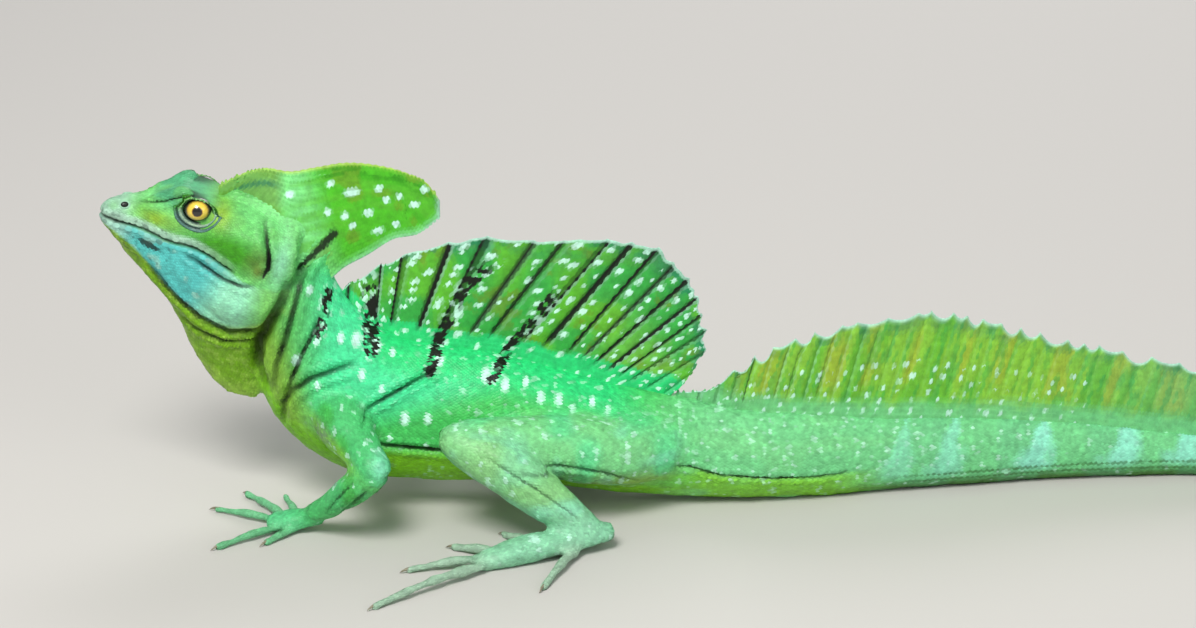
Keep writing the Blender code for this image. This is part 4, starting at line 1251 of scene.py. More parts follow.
def marked_head(points, tint, head):
    """The head with its dark blotch and flecks, the ear, and painted shade in the ear's slit and under the
    brow.
    """
    ahead, up = to_head(points)
    blotch = blob(ahead, up + 0.2 * (ahead - 17.5), (17.5, -5.6), (4.4, 1.2))
    fleck = smooth(0.42, 0.55, noise(points, 1.1, 24)) * (1 - smooth(22, 30, ahead)) * (up < 1.5)
    ear = smooth(1.5, 0.3, from_ear(ahead, up)) * (0.8 + 0.4 * noise(points, 3, 27))
    distance, place = along_line(np.stack([ahead, up], axis=1), EAR_SLIT)
    brow = blob(ahead, up - 0.12 * (ahead - 30), (32, 15.3), (6.5, 1.1))
    return painted(
        tint,
        (BLACK, 0.9 * head * smooth(0.3, 0.6, blotch)),
        (BLACK, 0.45 * head * fleck),
        (EAR_BROWN, 0.8 * head * ear),
        # Painted shade: the slit behind the ear is painted black.
        (BLACK, 0.95 * head * smooth(1.2, 0.6, distance / (0.3 + 3 * place * (1 - place)))),
        # Painted shade under the brow.
        (FURROW_SHADE, 0.55 * head * brow * smooth(7.5, 9.5, np.abs(points[:, 1]))),
        (LORE_YELLOW, 0.6 * head * blob(ahead, up, (38.5, 12.5), (3, 2))),
    )


def marked(points, tint, share, spots, spot_tree):
    """The ground colour with its spots, bars and blotches, a painted highlight on the elbow, and painted
    shade in the folds, along the mouth, in the ear's slit, in the groove under the head crest and under the
    brow.
    """
    x, side, z = points.T
    body, head = part_of(share, "body"), part_of(share, "head")
    limbs = part_of(share, "thigh", "shank", "upper_arm", "forearm", "sole")
    arm = part_of(share, "body", "upper_arm", "forearm")
    patch, lines = tail_marks(points)
    # Painted highlight on the elbow.
    elbow = blob(x, z, (-85, 30.5), (3.5, 4.5)) * smooth(34, 40, side)
    creased = 0.75 + 0.6 * noise(points * (1, 1, 2), 1.0, 29)
    creased = creased * blob(x, z, (-105.2, 34), (3.6, 3.4)) * smooth(6, 10, side)
    groove = casque_groove_shade(points) * smooth(0.5, 1.5, np.abs(side))
    tint = painted(
        tint,
        (SPOT, 0.95 * paleness(points, spots, spot_tree) * body),
        (SPOT, 0.5 * smooth(0.55, 0.7, noise(points * (1, 1, 0.8), 2.1, 21)) * limbs),
        (TURQUOISE, 0.3 * smooth(0.15, 0.7, noise(points, 5.5, 22)) * part_of(share, "thigh", "shank")),
        (TURQUOISE, patch * body),
        (TURQUOISE, 0.6 * arm * elbow),
        (CREASED_GREY, arm * creased),
        (TAIL_UNDER * 0.6, lines * body),
        # Painted shade in the groove under the head crest.
        (BLACK, 0.95 * groove * part_of(share, "body", "casque", "head")),
    )
    trunk = part_of(share, "body", "casque")
    broken = smooth(-0.4, -0.15, noise(points, 1.3, 23)) * trunk
    uneven = smooth(0.1, 0.4, noise(points, 1.3, 26)) * trunk
    for line, wide in BARS:
        distance = along_line(points[:, (0, 2)], line)[0]
        beside = (1 - smooth(wide, wide + 1.6, distance)) * uneven
        core = (1 - smooth(wide * 0.85, wide * 1.05, distance)) * broken
        tint = painted(tint, (SPOT, 0.6 * beside), (BLACK, core))
    tint = marked_head(points, tint, head)
    # Painted shade along the folds and the line of the mouth.
    height, mouth = mouth_height(points)
    dark = np.maximum(fold_depth(points, share)[1], head * mouth * bump(height, 0.55))
    dark = dark * (0.85 + 0.3 * noise(points, 3.5, 28))
    return tint * (1 - 0.94 * np.clip(dark, 0, 1))[:, None]


def new_material(name):
    """A material, with its tree of nodes and its shader."""
    material = bpy.data.materials.new(name)
    material.use_nodes = True
    return material, material.node_tree, material.node_tree.nodes["Principled BSDF"]


def add_node(tree, kind, links=(), values=(), **settings):
    """A node with its settings and values, joined from the outputs given."""
    node = tree.nodes.new(kind)
    for name, value in settings.items():
        setattr(node, name, value)
    for name, value in dict(values).items():
        node.inputs[name].default_value = value
    for source, target in links:
        tree.links.new(source, node.inputs[target])
    return node


def fine_skin_finish(name, roughness, pattern_size, depth, coat=0.0):
    """Skin or scales: its own colours with a fine mottle, a satin gloss and a pebbled surface."""
    material, tree, shader = new_material(name)
    tint = add_node(tree, "ShaderNodeAttribute", attribute_name="tint").outputs["Color"]
    place = add_node(tree, "ShaderNodeTexCoord").outputs["Object"]
    mottle = add_node(tree, "ShaderNodeTexNoise", [(place, "Vector")], {"Scale": 420, "Detail": 3})
    mottle = mottle.outputs["Fac"]
    reach = {"From Min": 0.3, "From Max": 0.7, "To Min": 0.82, "To Max": 1.14}
    strength = add_node(tree, "ShaderNodeMapRange", [(mottle, "Value")], reach).outputs["Result"]
    shade = add_node(tree, "ShaderNodeVectorMath", [(tint, 0), (strength, "Scale")], operation="SCALE")
    tree.links.new(shade.outputs["Vector"], shader.inputs["Base Color"])
    pebbles = add_node(tree, "ShaderNodeTexVoronoi", [(place, "Vector")], {"Scale": 1 / (pattern_size * MM)})
    reach = {"Strength": 0.5, "Distance": depth * MM}
    relief = add_node(tree, "ShaderNodeBump", [(pebbles.outputs["Distance"], "Height")], reach, invert=True)
    tree.links.new(relief.outputs["Normal"], shader.inputs["Normal"])
    reach = {"To Min": roughness - 0.08, "To Max": roughness + 0.1}
    gloss = add_node(tree, "ShaderNodeMapRange", [(mottle, "Value")], reach)
    tree.links.new(gloss.outputs["Result"], shader.inputs["Roughness"])
    shader.inputs["Specular IOR Level"].default_value = 0.25
    shader.inputs["Coat Weight"].default_value = coat
    shader.inputs["Coat Roughness"].default_value = 0.25
    return material


def scale_shape():
    """One keeled scale, pointed at the rear, one long and one wide."""
    points = (
        (-0.5, 0, 0.0),
        (-0.16, 0.46, 0.0),
        (0.3, 0.34, 0.05),
        (0.6, 0, 0.1),
        (0.3, -0.34, 0.05),
        (-0.16, -0.46, 0.0),
        (0.08, 0, 0.24),
        (0.05, 0, -0.25),
    )
    faces = [(k, (k + 1) % 6, 6) for k in range(6)] + [((k + 1) % 6, k, 7) for k in range(6)]
    return small_shape("keeled_scale", points, faces)


def plate_shape():
    """One flat, bevelled plate, one long and one wide."""
    turn = np.arange(8) * math.pi / 4 + math.pi / 8
    low = [(0.5 * math.cos(angle), 0.5 * math.sin(angle), -0.05) for angle in turn]
    high = [(0.38 * math.cos(angle), 0.38 * math.sin(angle), 0.2) for angle in turn]
    points = [*low, *high, (0, 0, 0.27), (0, 0, -0.3)]
    faces = [(k, (k + 1) % 8, 8 + (k + 1) % 8, 8 + k) for k in range(8)]
    faces += [(8 + k, 8 + (k + 1) % 8, 16) for k in range(8)]
    faces += [((k + 1) % 8, k, 17) for k in range(8)]
    return small_shape("plate", points, faces)


def strewn(mesh, count, draw):
    """Points strewn evenly over a mesh of triangles."""
    corners = np.array([polygon.vertices[:] for polygon in mesh.polygons if len(polygon.vertices) == 3])
    points = points_of(mesh)
    first, second, third = (points[corners[:, k]] for k in range(3))
    area = np.linalg.norm(np.cross(second - first, third - first), axis=1)
    chosen = draw.choice(len(corners), count, p=area / area.sum())
    one, two = draw.uniform(size=(2, count, 1))
    turned = one + two > 1
    one, two = np.where(turned, 1 - one, one), np.where(turned, 1 - two, two)
    return first[chosen] * (1 - one - two) + second[chosen] * one + third[chosen] * two


class Surface:
    """The finished skin, for finding its nearest place to any point."""

    def __init__(self, skin, share, tint):
        self.tree = BVHTree.FromObject(skin, bpy.context.evaluated_depsgraph_get())
        self.normals = normals_of(skin.data)
        self.corner = np.array([polygon.vertices[0] for polygon in skin.data.polygons])
        self.share, self.tint = share, tint

    def nearest(self, points):
        """The skin's point nearest to each point, and the corner of the skin beside it."""
        hits = [self.tree.find_nearest(point) for point in world(points).tolist()]
        return own(np.array([hit[0] for hit in hits])), self.corner[[hit[2] for hit in hits]]


def spacing_of(kind, share):
    """The spacing of scales on a form, at a share of the way along it."""
    if kind != "body":
        return SPACING[kind]
    return float(np.interp(share, (0, 0.08, 0.2, 0.35, 0.7, 1), (0.9, 1.08, 1.12, 1.18, 1.0, 0.65)))


def small_shape(name, points, faces):
    """A shape to repeat, hidden from the render, with its own place on the unwrap."""
    thing = mesh_object(name, points, faces, smooth_faces=False)
    store(thing.data, "patch", "FLOAT_VECTOR", np.array(points, dtype=float))
    bpy.context.scene.collection.objects.unlink(thing)
    return thing


COAT_INPUTS = {
    "Roots": "Geometry",
    "Scale shape": "Object",
    "Least size": "Float",
    "Greatest size": "Float",
    "Seed": "Int",
    "Finish": "Material",
}


def coat_tree():
    """Geometry Nodes that set one shape on each root, turned and sized as the root says."""
    tree = bpy.data.node_groups.new("coat_of_scales", "GeometryNodeTree")
    for name, kind in COAT_INPUTS.items():
        tree.interface.new_socket(name, in_out="INPUT", socket_type="NodeSocket" + kind)
    tree.interface.new_socket("Coat", in_out="OUTPUT", socket_type="NodeSocketGeometry")
    given = tree.nodes.new("NodeGroupInput").outputs
    read = {}
    for name in ("facing", "lie", "size"):
        kept = add_node(tree, "GeometryNodeInputNamedAttribute", (), {"Name": name}, data_type="FLOAT_VECTOR")
        read[name] = kept.outputs["Attribute"]
    axes = [(read["facing"], "Primary Axis"), (read["lie"], "Secondary Axis")]
    turn = add_node(tree, "FunctionNodeAxesToRotation", axes, primary_axis="Z", secondary_axis="X")
    limits = [(given["Least size"], 2), (given["Greatest size"], 3), (given["Seed"], "Seed")]
    spread = add_node(tree, "FunctionNodeRandomValue", limits, data_type="FLOAT")
    factors = [(read["size"], 0), (spread.outputs[1], "Scale")]
    size = add_node(tree, "ShaderNodeVectorMath", factors, operation="SCALE")
    shape = add_node(tree, "GeometryNodeObjectInfo", [(given["Scale shape"], "Object")])
    links = [
        (given["Roots"], "Points"),
        (shape.outputs["Geometry"], "Instance"),
        (turn.outputs["Rotation"], "Rotation"),
        (size.outputs["Vector"], "Scale"),
    ]
    place = add_node(tree, "GeometryNodeInstanceOnPoints", links)
    real = add_node(tree, "GeometryNodeRealizeInstances", [(place.outputs["Instances"], "Geometry")])
    links = [(real.outputs["Geometry"], "Geometry"), (given["Finish"], "Material")]
    finish = add_node(tree, "GeometryNodeSetMaterial", links)
    add_node(tree, "NodeGroupOutput", [(finish.outputs["Geometry"], "Coat")])
    return tree


def set_input(modifier, name, value):
    """Set a modifier's input by its socket's identifier."""
    for item in modifier.node_group.interface.items_tree:
        if item.item_type == "SOCKET" and item.in_out == "INPUT" and item.name == name:
            modifier[item.identifier] = value


def make_coat(name, roots, shape, finish, tree, seed, spread=(0.92, 1.1)):
    """One piece of many small shapes, each on its root, with its patch on the unwrap."""
    mesh = bpy.data.meshes.new(name)
    mesh.from_pydata(world(roots["point"]).tolist(), [], [])
    store(mesh, "facing", "FLOAT_VECTOR", roots["facing"] * MIRROR)
    store(mesh, "lie", "FLOAT_VECTOR", roots["lie"] * MIRROR)
    store(mesh, "size", "FLOAT_VECTOR", roots["size"] * MM)
    store(mesh, "tint", "FLOAT_COLOR", roots["tint"])
    store(mesh, "root_place", "FLOAT_VECTOR", np.pad(roots["place"], ((0, 0), (0, 1))))
    thing = add_object(name, mesh)
    modifier = thing.modifiers.new("coat", "NODES")
    modifier.node_group = tree
    set_input(modifier, "Scale shape", shape)
    set_input(modifier, "Least size", spread[0])
    set_input(modifier, "Greatest size", spread[1])
    set_input(modifier, "Seed", seed)
    set_input(modifier, "Finish", finish)
    plain_mesh(thing)
    lay_patches(thing.data)
    return thing


def lay_patches(mesh):
    """Give each scale a small patch at its root's place on the skin's unwrap."""
    corners = read_all(mesh.loops, "vertex_index", 1, np.int64)[:, 0]
    values = {}
    for name in ("root_place", "patch"):
        values[name] = read_all(mesh.attributes[name].data, "vector", 3, np.float32)[:, :2]
    unwrap = values["root_place"] + values["patch"] * PATCH
    layer = mesh.uv_layers.new(name="OFBake")
    layer.data.foreach_set("uv", unwrap[corners].ravel())
    for name in ("root_place", "patch", "facing", "lie", "size"):
        if name in mesh.attributes:
            mesh.attributes.remove(mesh.attributes[name])


def lattice(grid, kind, draw):
    """Staggered rows of scales round a form, as row and column places on its grid."""
    rows, columns = grid.shape[:2]
    closed = np.concatenate([grid, grid[:, :1]], axis=1)
    arcs = np.cumsum(np.linalg.norm(np.diff(closed, axis=1), axis=2), axis=1)
    arcs = np.concatenate([np.zeros((rows, 1)), arcs], axis=1)
    steps = np.linalg.norm(np.diff(grid, axis=0), axis=2).mean(axis=1)
    places = np.concatenate([[0], np.cumsum(steps)])
    found, place, number, count = [], 0.0, 0, 0
    while place < places[-1]:
        row = np.interp(place, places, np.arange(rows))
        low = min(int(row), rows - 2)
        arc = arcs[low] + (arcs[low + 1] - arcs[low]) * (row - low)
        here = spacing_of(kind, row / (rows - 1))
        wanted = max(5.0, arc[-1] / here)
        if not 0.87 < count / wanted < 1.15:
            count = round(wanted)
        turns = np.arange(count) + 0.5 * (number % 2) + 0.25 + draw.normal(0, 0.07, count)
        turns = turns / count % 1 * arc[-1]
        shift = draw.normal(0, 0.07, count) * here / max(1e-3, steps[low])
        down = np.clip(row + shift, 0, rows - 1.001)
        found.append(np.stack([down, np.interp(turns, arc, np.arange(columns + 1))], axis=1))
        place += here * ROW_PITCH
        number += 1
    return np.concatenate(found)


def on_grid(grid, spots):
    """Points of a grid at row and column places, and the way along it there."""
    rows, columns = grid.shape[:2]
    row = np.clip(spots[:, 0].astype(int), 0, rows - 2)
    column = spots[:, 1].astype(int) % columns
    down = (spots[:, 0] - row)[:, None]
    across = (spots[:, 1] - np.floor(spots[:, 1]))[:, None]
    after = (column + 1) % columns
    first = grid[row, column] * (1 - across) + grid[row, after] * across
    second = grid[row + 1, column] * (1 - across) + grid[row + 1, after] * across
    return first + (second - first) * down, unit(second - first)


def thinned(points, least, taken):
    """Which points keep their distance from those before them."""
    kept = []
    for number, (point, key) in enumerate(zip(points, np.floor(points / CELL).astype(int).tolist())):
        key = tuple(key)
        if not crowded(taken, key, point, least[number]):
            taken.setdefault(key, []).append(point)
            kept.append(number)
    return kept


def unwrap_boxes(forms):
    """A box of the unwrap for each form, by its size, packed in shelves."""
    sizes = []
    for kind, grid in forms:
        length = np.linalg.norm(np.diff(grid.mean(axis=1), axis=0), axis=1).sum()
        around = np.linalg.norm(np.diff(grid, axis=1), axis=2).sum(axis=1).max()
        sizes.append((length, around))
    order = sorted(range(len(forms)), key=lambda number: -sizes[number][1])
    boxes, left, bottom, shelf = {}, 0.0, 0.0, 0.0
    for number in order:
        length, around = sizes[number]
        if left + length > UNWRAP_SIDE and left > 0:
            left, bottom, shelf = 0.0, bottom + shelf + 6, 0.0
        boxes[number] = (left, bottom, length, around)
        left += length + 6
        shelf = max(shelf, around)
    extent = max(UNWRAP_SIDE, max(box[0] + box[2] for box in boxes.values()), bottom + shelf) + 4
    return {number: tuple(value / extent for value in box) for number, box in boxes.items()}


def make_roots(forms, skin, surface, spots, spot_tree):
    """The roots of all scales: in rows along each form, with the gaps between the rows filled."""
    draw = np.random.default_rng(3)
    boxes = unwrap_boxes(forms)
    columns = {"form": [], "point": [], "lie": [], "spacing": [], "place": []}
    for number in sorted(range(len(forms)), key=lambda number: KIND_ORDER.index(forms[number][0])):
        kind, grid = forms[number]
        places = lattice(grid, kind, draw)
        points, way = on_grid(grid, places)
        share = places / (len(grid) - 1, grid.shape[1])
        box = boxes[number]
        columns["form"].append(np.full(len(points), number))
        columns["point"].append(points)
        columns["lie"].append(way)
        columns["spacing"].append([spacing_of(kind, along) for along in share[:, 0]])
        columns["place"].append(np.array(box[:2]) + share * box[2:])
    roots = {name: np.concatenate(values) for name, values in columns.items()}
    found, corner = surface.nearest(roots["point"])
    near = np.linalg.norm(found - roots["point"], axis=1) < 2.8
    roots["point"], roots["corner"] = found, corner
    roots = {name: values[near] for name, values in roots.items()}
    taken = {}
    kept = thinned(roots["point"], 0.62 * roots["spacing"], taken)
    roots = {name: values[kept] for name, values in roots.items()}
    tree = point_tree(roots["point"])
    loose = strewn(skin.data, LOOSE_POINTS, draw)
    hits = [tree.find(point)[1:] for point in loose.tolist()]
    closest = np.array([hit[0] for hit in hits])
    open_place = np.array([hit[1] for hit in hits]) > 0.86 * roots["spacing"][closest]
    loose, closest = loose[open_place], closest[open_place]
    kept = thinned(loose, 0.8 * roots["spacing"][closest], taken)
    loose, closest = loose[kept], closest[kept]
    filling = {name: values[closest] for name, values in roots.items()}
    filling["point"], filling["corner"] = surface.nearest(loose)
    roots = {name: np.concatenate([values, filling[name]]) for name, values in roots.items()}
    roots["share"] = surface.share[roots["corner"]]
    roots["facing"] = surface.normals[roots["corner"]]
    astray = draw.normal(0, 0.07, (len(roots["lie"]), 1))
    lie = roots["lie"] + np.cross(roots["facing"], roots["lie"]) * astray
    roots["lie"] = laid_flat(lie, roots["facing"])
    roots["kind"] = np.array(KIND_ORDER)[surface.share[roots["corner"]].argmax(axis=1)]
    ground = ground_tint(roots["point"], roots["share"])
    tint = marked(roots["point"], ground, roots["share"], spots, spot_tree)
    roots["tint"] = np.clip(tint * draw.normal(1.0, 0.07, (len(tint), 1)), 0, 1)
    return roots


def crowded(taken, key, point, least):
    """Whether another root lies closer than it may."""
    for step in NEIGHBOURS:
        for other in taken.get((key[0] + step[0], key[1] + step[1], key[2] + step[2]), ()):
            gap = other - point
            if abs(gap[0]) < least and gap @ gap < least * least:
                return True
    return False


def lip_roots(surface, roots, tree):
    """Roots of the plates that line the lips, above and below the mouth."""
    points, way, size = [], [], []
    for hand in (-1, 1):
        for ahead in np.arange(1.2, MOUTH_CORNER - 2, 2.15):
            for above in (-1, 1):
                here = ahead + (0.9 if above > 0 else 0)
                height = curve(MOUTH, here)[0] + above * 1.4
                points.append(from_head(here, height, hand * (curve(MOUTH_WIDTH, here)[0] + 0.6)))
                slope = curve(MOUTH, here + 1)[0] - curve(MOUTH, here)[0]
                way.append(from_head(1, slope, 0) - from_head(0, 0, 0))
                size.append((2.8, 1.75, 0.34) if ahead > 4 else (2.0, 1.5, 0.34))
    return single_roots(np.array(points), np.array(way), np.array(size), surface, roots, tree)


def place_on_unwrap(points, roots, tree):
    """The place on the unwrap of the scale nearest to each point."""
    return roots["place"][[tree.find(point)[1] for point in points.tolist()]]


def single_roots(points, way, size, surface, roots, tree):
    """Roots of single large scales on the skin near given points."""
    found, corner = surface.nearest(points)
    facing = surface.normals[corner]
    close = [tree.find(point)[1] for point in found.tolist()]
    lie = laid_flat(way, facing)
    place, tint = roots["place"][close], roots["tint"][close]
    return {"point": found, "facing": facing, "lie": lie, "size": size, "place": place, "tint": tint}


def crest_roots(middle, half, tint, steps, size, roots, tree):
    """Roots of the flat scales on both faces of a crest, in rows along its rays."""
    rows, columns = half.shape
    found = {"point": [], "facing": [], "lie": [], "tint": [], "size": []}
    row, column = np.meshgrid(np.arange(2, rows - 2, steps[0]), np.arange(1, columns - 1), indexing="ij")
    chosen = (column + (row // steps[0]) % 2 * (steps[1] // 2)) % steps[1] == 0
    row, column = row[chosen], column[chosen]
    way = unit(middle[row + 1, column] - middle[row, column])
    beside = unit(middle[row, column + 1] - middle[row, column - 1])
    across = unit(np.cross(way, beside))
    across *= np.sign(across[:, 1:2])
    for hand in (-1, 1):
        point = middle[row, column] + (0, hand, 0) * half[row, column][:, None]
        kept = thinned(point, np.full(len(point), 0.45 * size[0]), {})
        found["point"].append(point[kept])
        found["facing"].append(hand * across[kept])
        found["lie"].append(way[kept])
        found["tint"].append(tint.reshape(rows, columns, 3)[row, column][kept])
        found["size"].append(all_over(size, kept))
    found = {name: np.concatenate(values) for name, values in found.items()}
    found["place"] = place_on_unwrap(found["point"], roots, tree)
    return found


def edge_roots(line, spacing, size, tint, roots, tree):
    """Roots of the small points along a crest's edge, from a line of points in its plane."""
    steps = lengths_along(line)
    at = np.arange(spacing, steps[-1] - spacing, spacing)
    points = np.stack([np.interp(at, steps, line[:, axis]) for axis in range(3)], axis=1)
    ahead = np.stack([np.interp(at + 0.4, steps, line[:, axis]) for axis in range(3)], axis=1)
    lie = unit(ahead - points)
    facing = unit(np.cross(lie, (0.0, 1.0, 0.0)))
    facing *= np.sign(facing[:, 2:3] + 0.2 * facing[:, 0:1])
    place = place_on_unwrap(points, roots, tree)
    shape, shade = all_over(size, points), all_over(tint, points)
    return {"point": points, "facing": facing, "lie": lie, "size": shape, "place": place, "tint": shade}


def dress_with_scales(roots, shape, finish, tree):
    """The coat in pieces by part of the body, each below the size that one piece may have."""
    x, kind = roots["point"][:, 0], roots["kind"]
    ahead, up = to_head(roots["point"])
    tall = np.where(up > EYE_PLACE[1], 5.0, 7.0)
    eye = np.hypot((ahead - EYE_PLACE[0]) / 6.6, (up - EYE_PLACE[1]) / tall) < 1
    nostril = np.hypot(ahead - NOSTRIL_PLACE[0], up - NOSTRIL_PLACE[1]) < 1.7
    slit = along_line(np.stack([ahead, up], axis=1), EAR_SLIT)[0] < 0.5
    height, mouth = mouth_height(roots["point"])
    lips = (np.abs(height) < 2.3) & (mouth > 0.3) & (ahead < MOUTH_CORNER - 2)
    bare = (kind == "head") & (eye | nostril | slit | lips)
    sizes = np.array([SCALE_SIZES.get(name, SCALE_SIZE) for name in kind])
    roots["size"] = roots["spacing"][:, None] * sizes
    for number, (name, (kinds, (start, end), slot, nodes)) in enumerate(COATS.items()):
        chosen = np.isin(kind, kinds) & (x >= start) & (x < end) & ~bare
        part = {key: value[chosen] for key, value in roots.items()}
        ride(make_coat(name, part, shape, finish, tree, number), slot, *nodes)


def rays_over(band, seed):
    """The number of the ray before each place of a crest, and how far past that ray the place is."""
    draw = np.random.default_rng(seed)
    rays = np.arange(int(band.max()) + 3) - 0.5 + draw.uniform(-0.16, 0.16, int(band.max()) + 3)
    number = np.clip(np.searchsorted(rays, band) - 1, 0, len(rays) - 2)
    return number, (band - rays[number]) / (rays[number + 1] - rays[number])


def sheet_object(name, middle, half):
    """A thin closed form: a grid of middle points with its half thickness to either side."""
    rows, columns = half.shape
    number = np.arange(rows * columns).reshape(rows, columns)
    a, b, c, d = number[:-1, :-1], number[:-1, 1:], number[1:, 1:], number[1:, :-1]
    other = rows * columns
    left = np.stack([a, b, c, d], axis=-1).reshape(-1, 4)
    right = np.stack([a, d, c, b], axis=-1).reshape(-1, 4) + other
    faces = np.concatenate([left, right]).tolist()
    rim = np.concatenate([number[0], number[1:, -1], number[-1, -2::-1], number[-2:0:-1, 0]])
    for here, after in zip(rim, np.roll(rim, -1)):
        faces.append((here, here + other, after + other, after))
    points = np.concatenate([face.reshape(-1, 3) for face in both_faces(middle, half)])
    return mesh_object(name, world(points), faces)


def back_line(x):
    """Height and side of the body's back at places along it."""
    rows = np.array(BODY_STATIONS, dtype=float)
    return curve(np.column_stack([rows[:, 0], rows[:, 1], rows[:, 5]]), x)


def spots_in_bands(number, part, share, seed, count, width, length):
    """Pale spots strewn in rows along the bands between rays, as values from 0 to 1."""
    draw = np.random.default_rng(seed)
    pale = np.zeros(number.shape)
    for here in range(int(number.max()) + 1):
        inside = number == here
        for turn in range(count):
            centre, high = draw.uniform(0.25, 0.8), (turn + draw.uniform(0.1, 0.9)) / count
            size = draw.uniform(0.5, 1.25)
            gap = np.hypot((part - centre) / (width * size), (share - high) / (length * size))
            pale = np.where(inside, np.maximum(pale, 1 - smooth(0.6, 1.15, gap)), pale)
    return pale


def crest_piece(name, middle, half, tint, finish, *nodes):
    """A crest as a finished piece, coloured alike on both faces."""
    piece = coloured(sheet_object(name, middle, half), np.concatenate([tint, tint]), finish)
    ride(piece, "crest", *nodes)
    return middle, half, tint


def make_sail(finish):
    """The crest along the back: pleated between its rays, with painted shade in the furrows and a painted
    highlight beside them, pale spots and a pale toothed edge.
    """
    per_ray, rows = 13, 84
    columns = SAIL_RAY_COUNT * per_ray + 1
    rays = np.array(SAIL_RAYS, dtype=float)
    table = np.column_stack([np.arange(len(rays)), rays])
    place = np.linspace(0, len(rays) - 1, columns)
    root_x, tip_x, tip_z = (values[None] for values in curve(table, place).T)
    root_z = back_line(root_x[0])[:, 0][None] - CREST_ROOT_SINK
    share = np.linspace(0, 1, rows)[:, None]
    band = (np.arange(columns) / per_ray)[None] + 0 * share
    share = share + 0 * band
    number, part = rays_over(band, 4)
    height = np.maximum(6, tip_z - root_z)
    uneven = noise(np.stack([place * 5, 0 * place, 0 * place], axis=1), 1.0, 38)[None]
    tooth = (1.1 * np.sin(part * math.pi) ** 0.8 + 0.7 * uneven) * smooth(0.8, 1, share)
    reach = share - tooth / height * share
    x = root_x + (tip_x - root_x) * reach
    z = root_z + (tip_z - root_z) * reach
    strength = np.array(SAIL_BAND_STRENGTH)[number % len(SAIL_BAND_STRENGTH)]
    panel = np.sin(part * math.pi) ** 0.55
    fading = smooth(0.1, 0.25, share) * (1 - 0.45 * smooth(0.85, 1, share))
    pleat = (panel * (0.5 + 0.6 * strength) - 0.5) * fading
    sway = 1.6 * share * np.sin(root_x * 0.09) + pleat
    root = np.maximum(0, 1 - share / 0.25) ** 1.5
    half = 0.34 + 0.2 * panel * fading + (CREST_ROOT_HALF - 0.8) * root
    points = np.stack([x, 0 * x, z], axis=-1).reshape(-1, 3)
    high, inside = share.ravel(), part.ravel()
    blotched = smooth(0.0, 0.55, noise(points, 2.4, 31)) * smooth(0.1, 0.5, noise(points, 9, 32))
    over = (z - root_z - CREST_ROOT_SINK).ravel() + noise(points, 5, 36)
    edge_gap = np.minimum(inside, 1 - inside)
    strong = strength.ravel() * smooth(0.12, 0.24, high)
    # Painted shade in the furrows at the rays.
    furrow_shade = np.clip(1.3 * strong, 0, 1) * smooth(1.4, 0.7, edge_gap / (0.05 + 0.08 * strong))
    tint = painted(
        all_over(SAIL_GREEN, points),
        (SAIL_LOW, smooth(-0.1, 0.6, noise(points, 11, 34))),
        (TAIL_CREST_GREEN, 0.6 * smooth(-25, 5, points[:, 0]) * smooth(0.75, 0.3, high)),
        (CREST_OLIVE, 0.6 * blotched),
        # Dark teal under the toothed edge: partly a teal tint, partly painted shade between the teeth.
        (CREST_TEAL, 0.7 * smooth(0.8, 0.97, high) * smooth(-0.6, 0.4, noise(points, 3, 35))),
        (BACK_MINT, 1 - smooth(3.4, 5.2, over)),
        # Painted highlight beside each ray, and painted shade next to it.
        (CREST_EDGE, 0.45 * bump(inside - 0.16, 0.05) * strong),
        (FURROW_SHADE, 0.35 * smooth(0.3, 0.05, edge_gap) * strong),
        (BLACK, furrow_shade),
        (SPOT, 0.88 * spots_in_bands(number, part, share, 7, 10, 0.13, 0.028).ravel()),
    )
    broken = smooth(-0.4, -0.1, noise(points, 1.3, 33))
    speckled = smooth(0.15, 0.45, noise(points, 1.3, 37))
    for line, wide in BARS:
        distance, along = along_line(points[:, (0, 2)], line)
        beside = (1 - smooth(wide, wide + 1.8, distance)) * speckled
        core = (1 - smooth(wide * 0.85, wide * 1.05, distance)) * broken * smooth(0, 0.12, along)
        tint = painted(tint, (SPOT, 0.6 * beside), (BLACK, core))
    tint = mixed(tint, CREST_EDGE, 0.75 * smooth(0.978, 0.992, high))
    middle = np.stack([x, sway, z], axis=-1)
    return crest_piece("sail", middle, half, tint, finish, "back_crest")


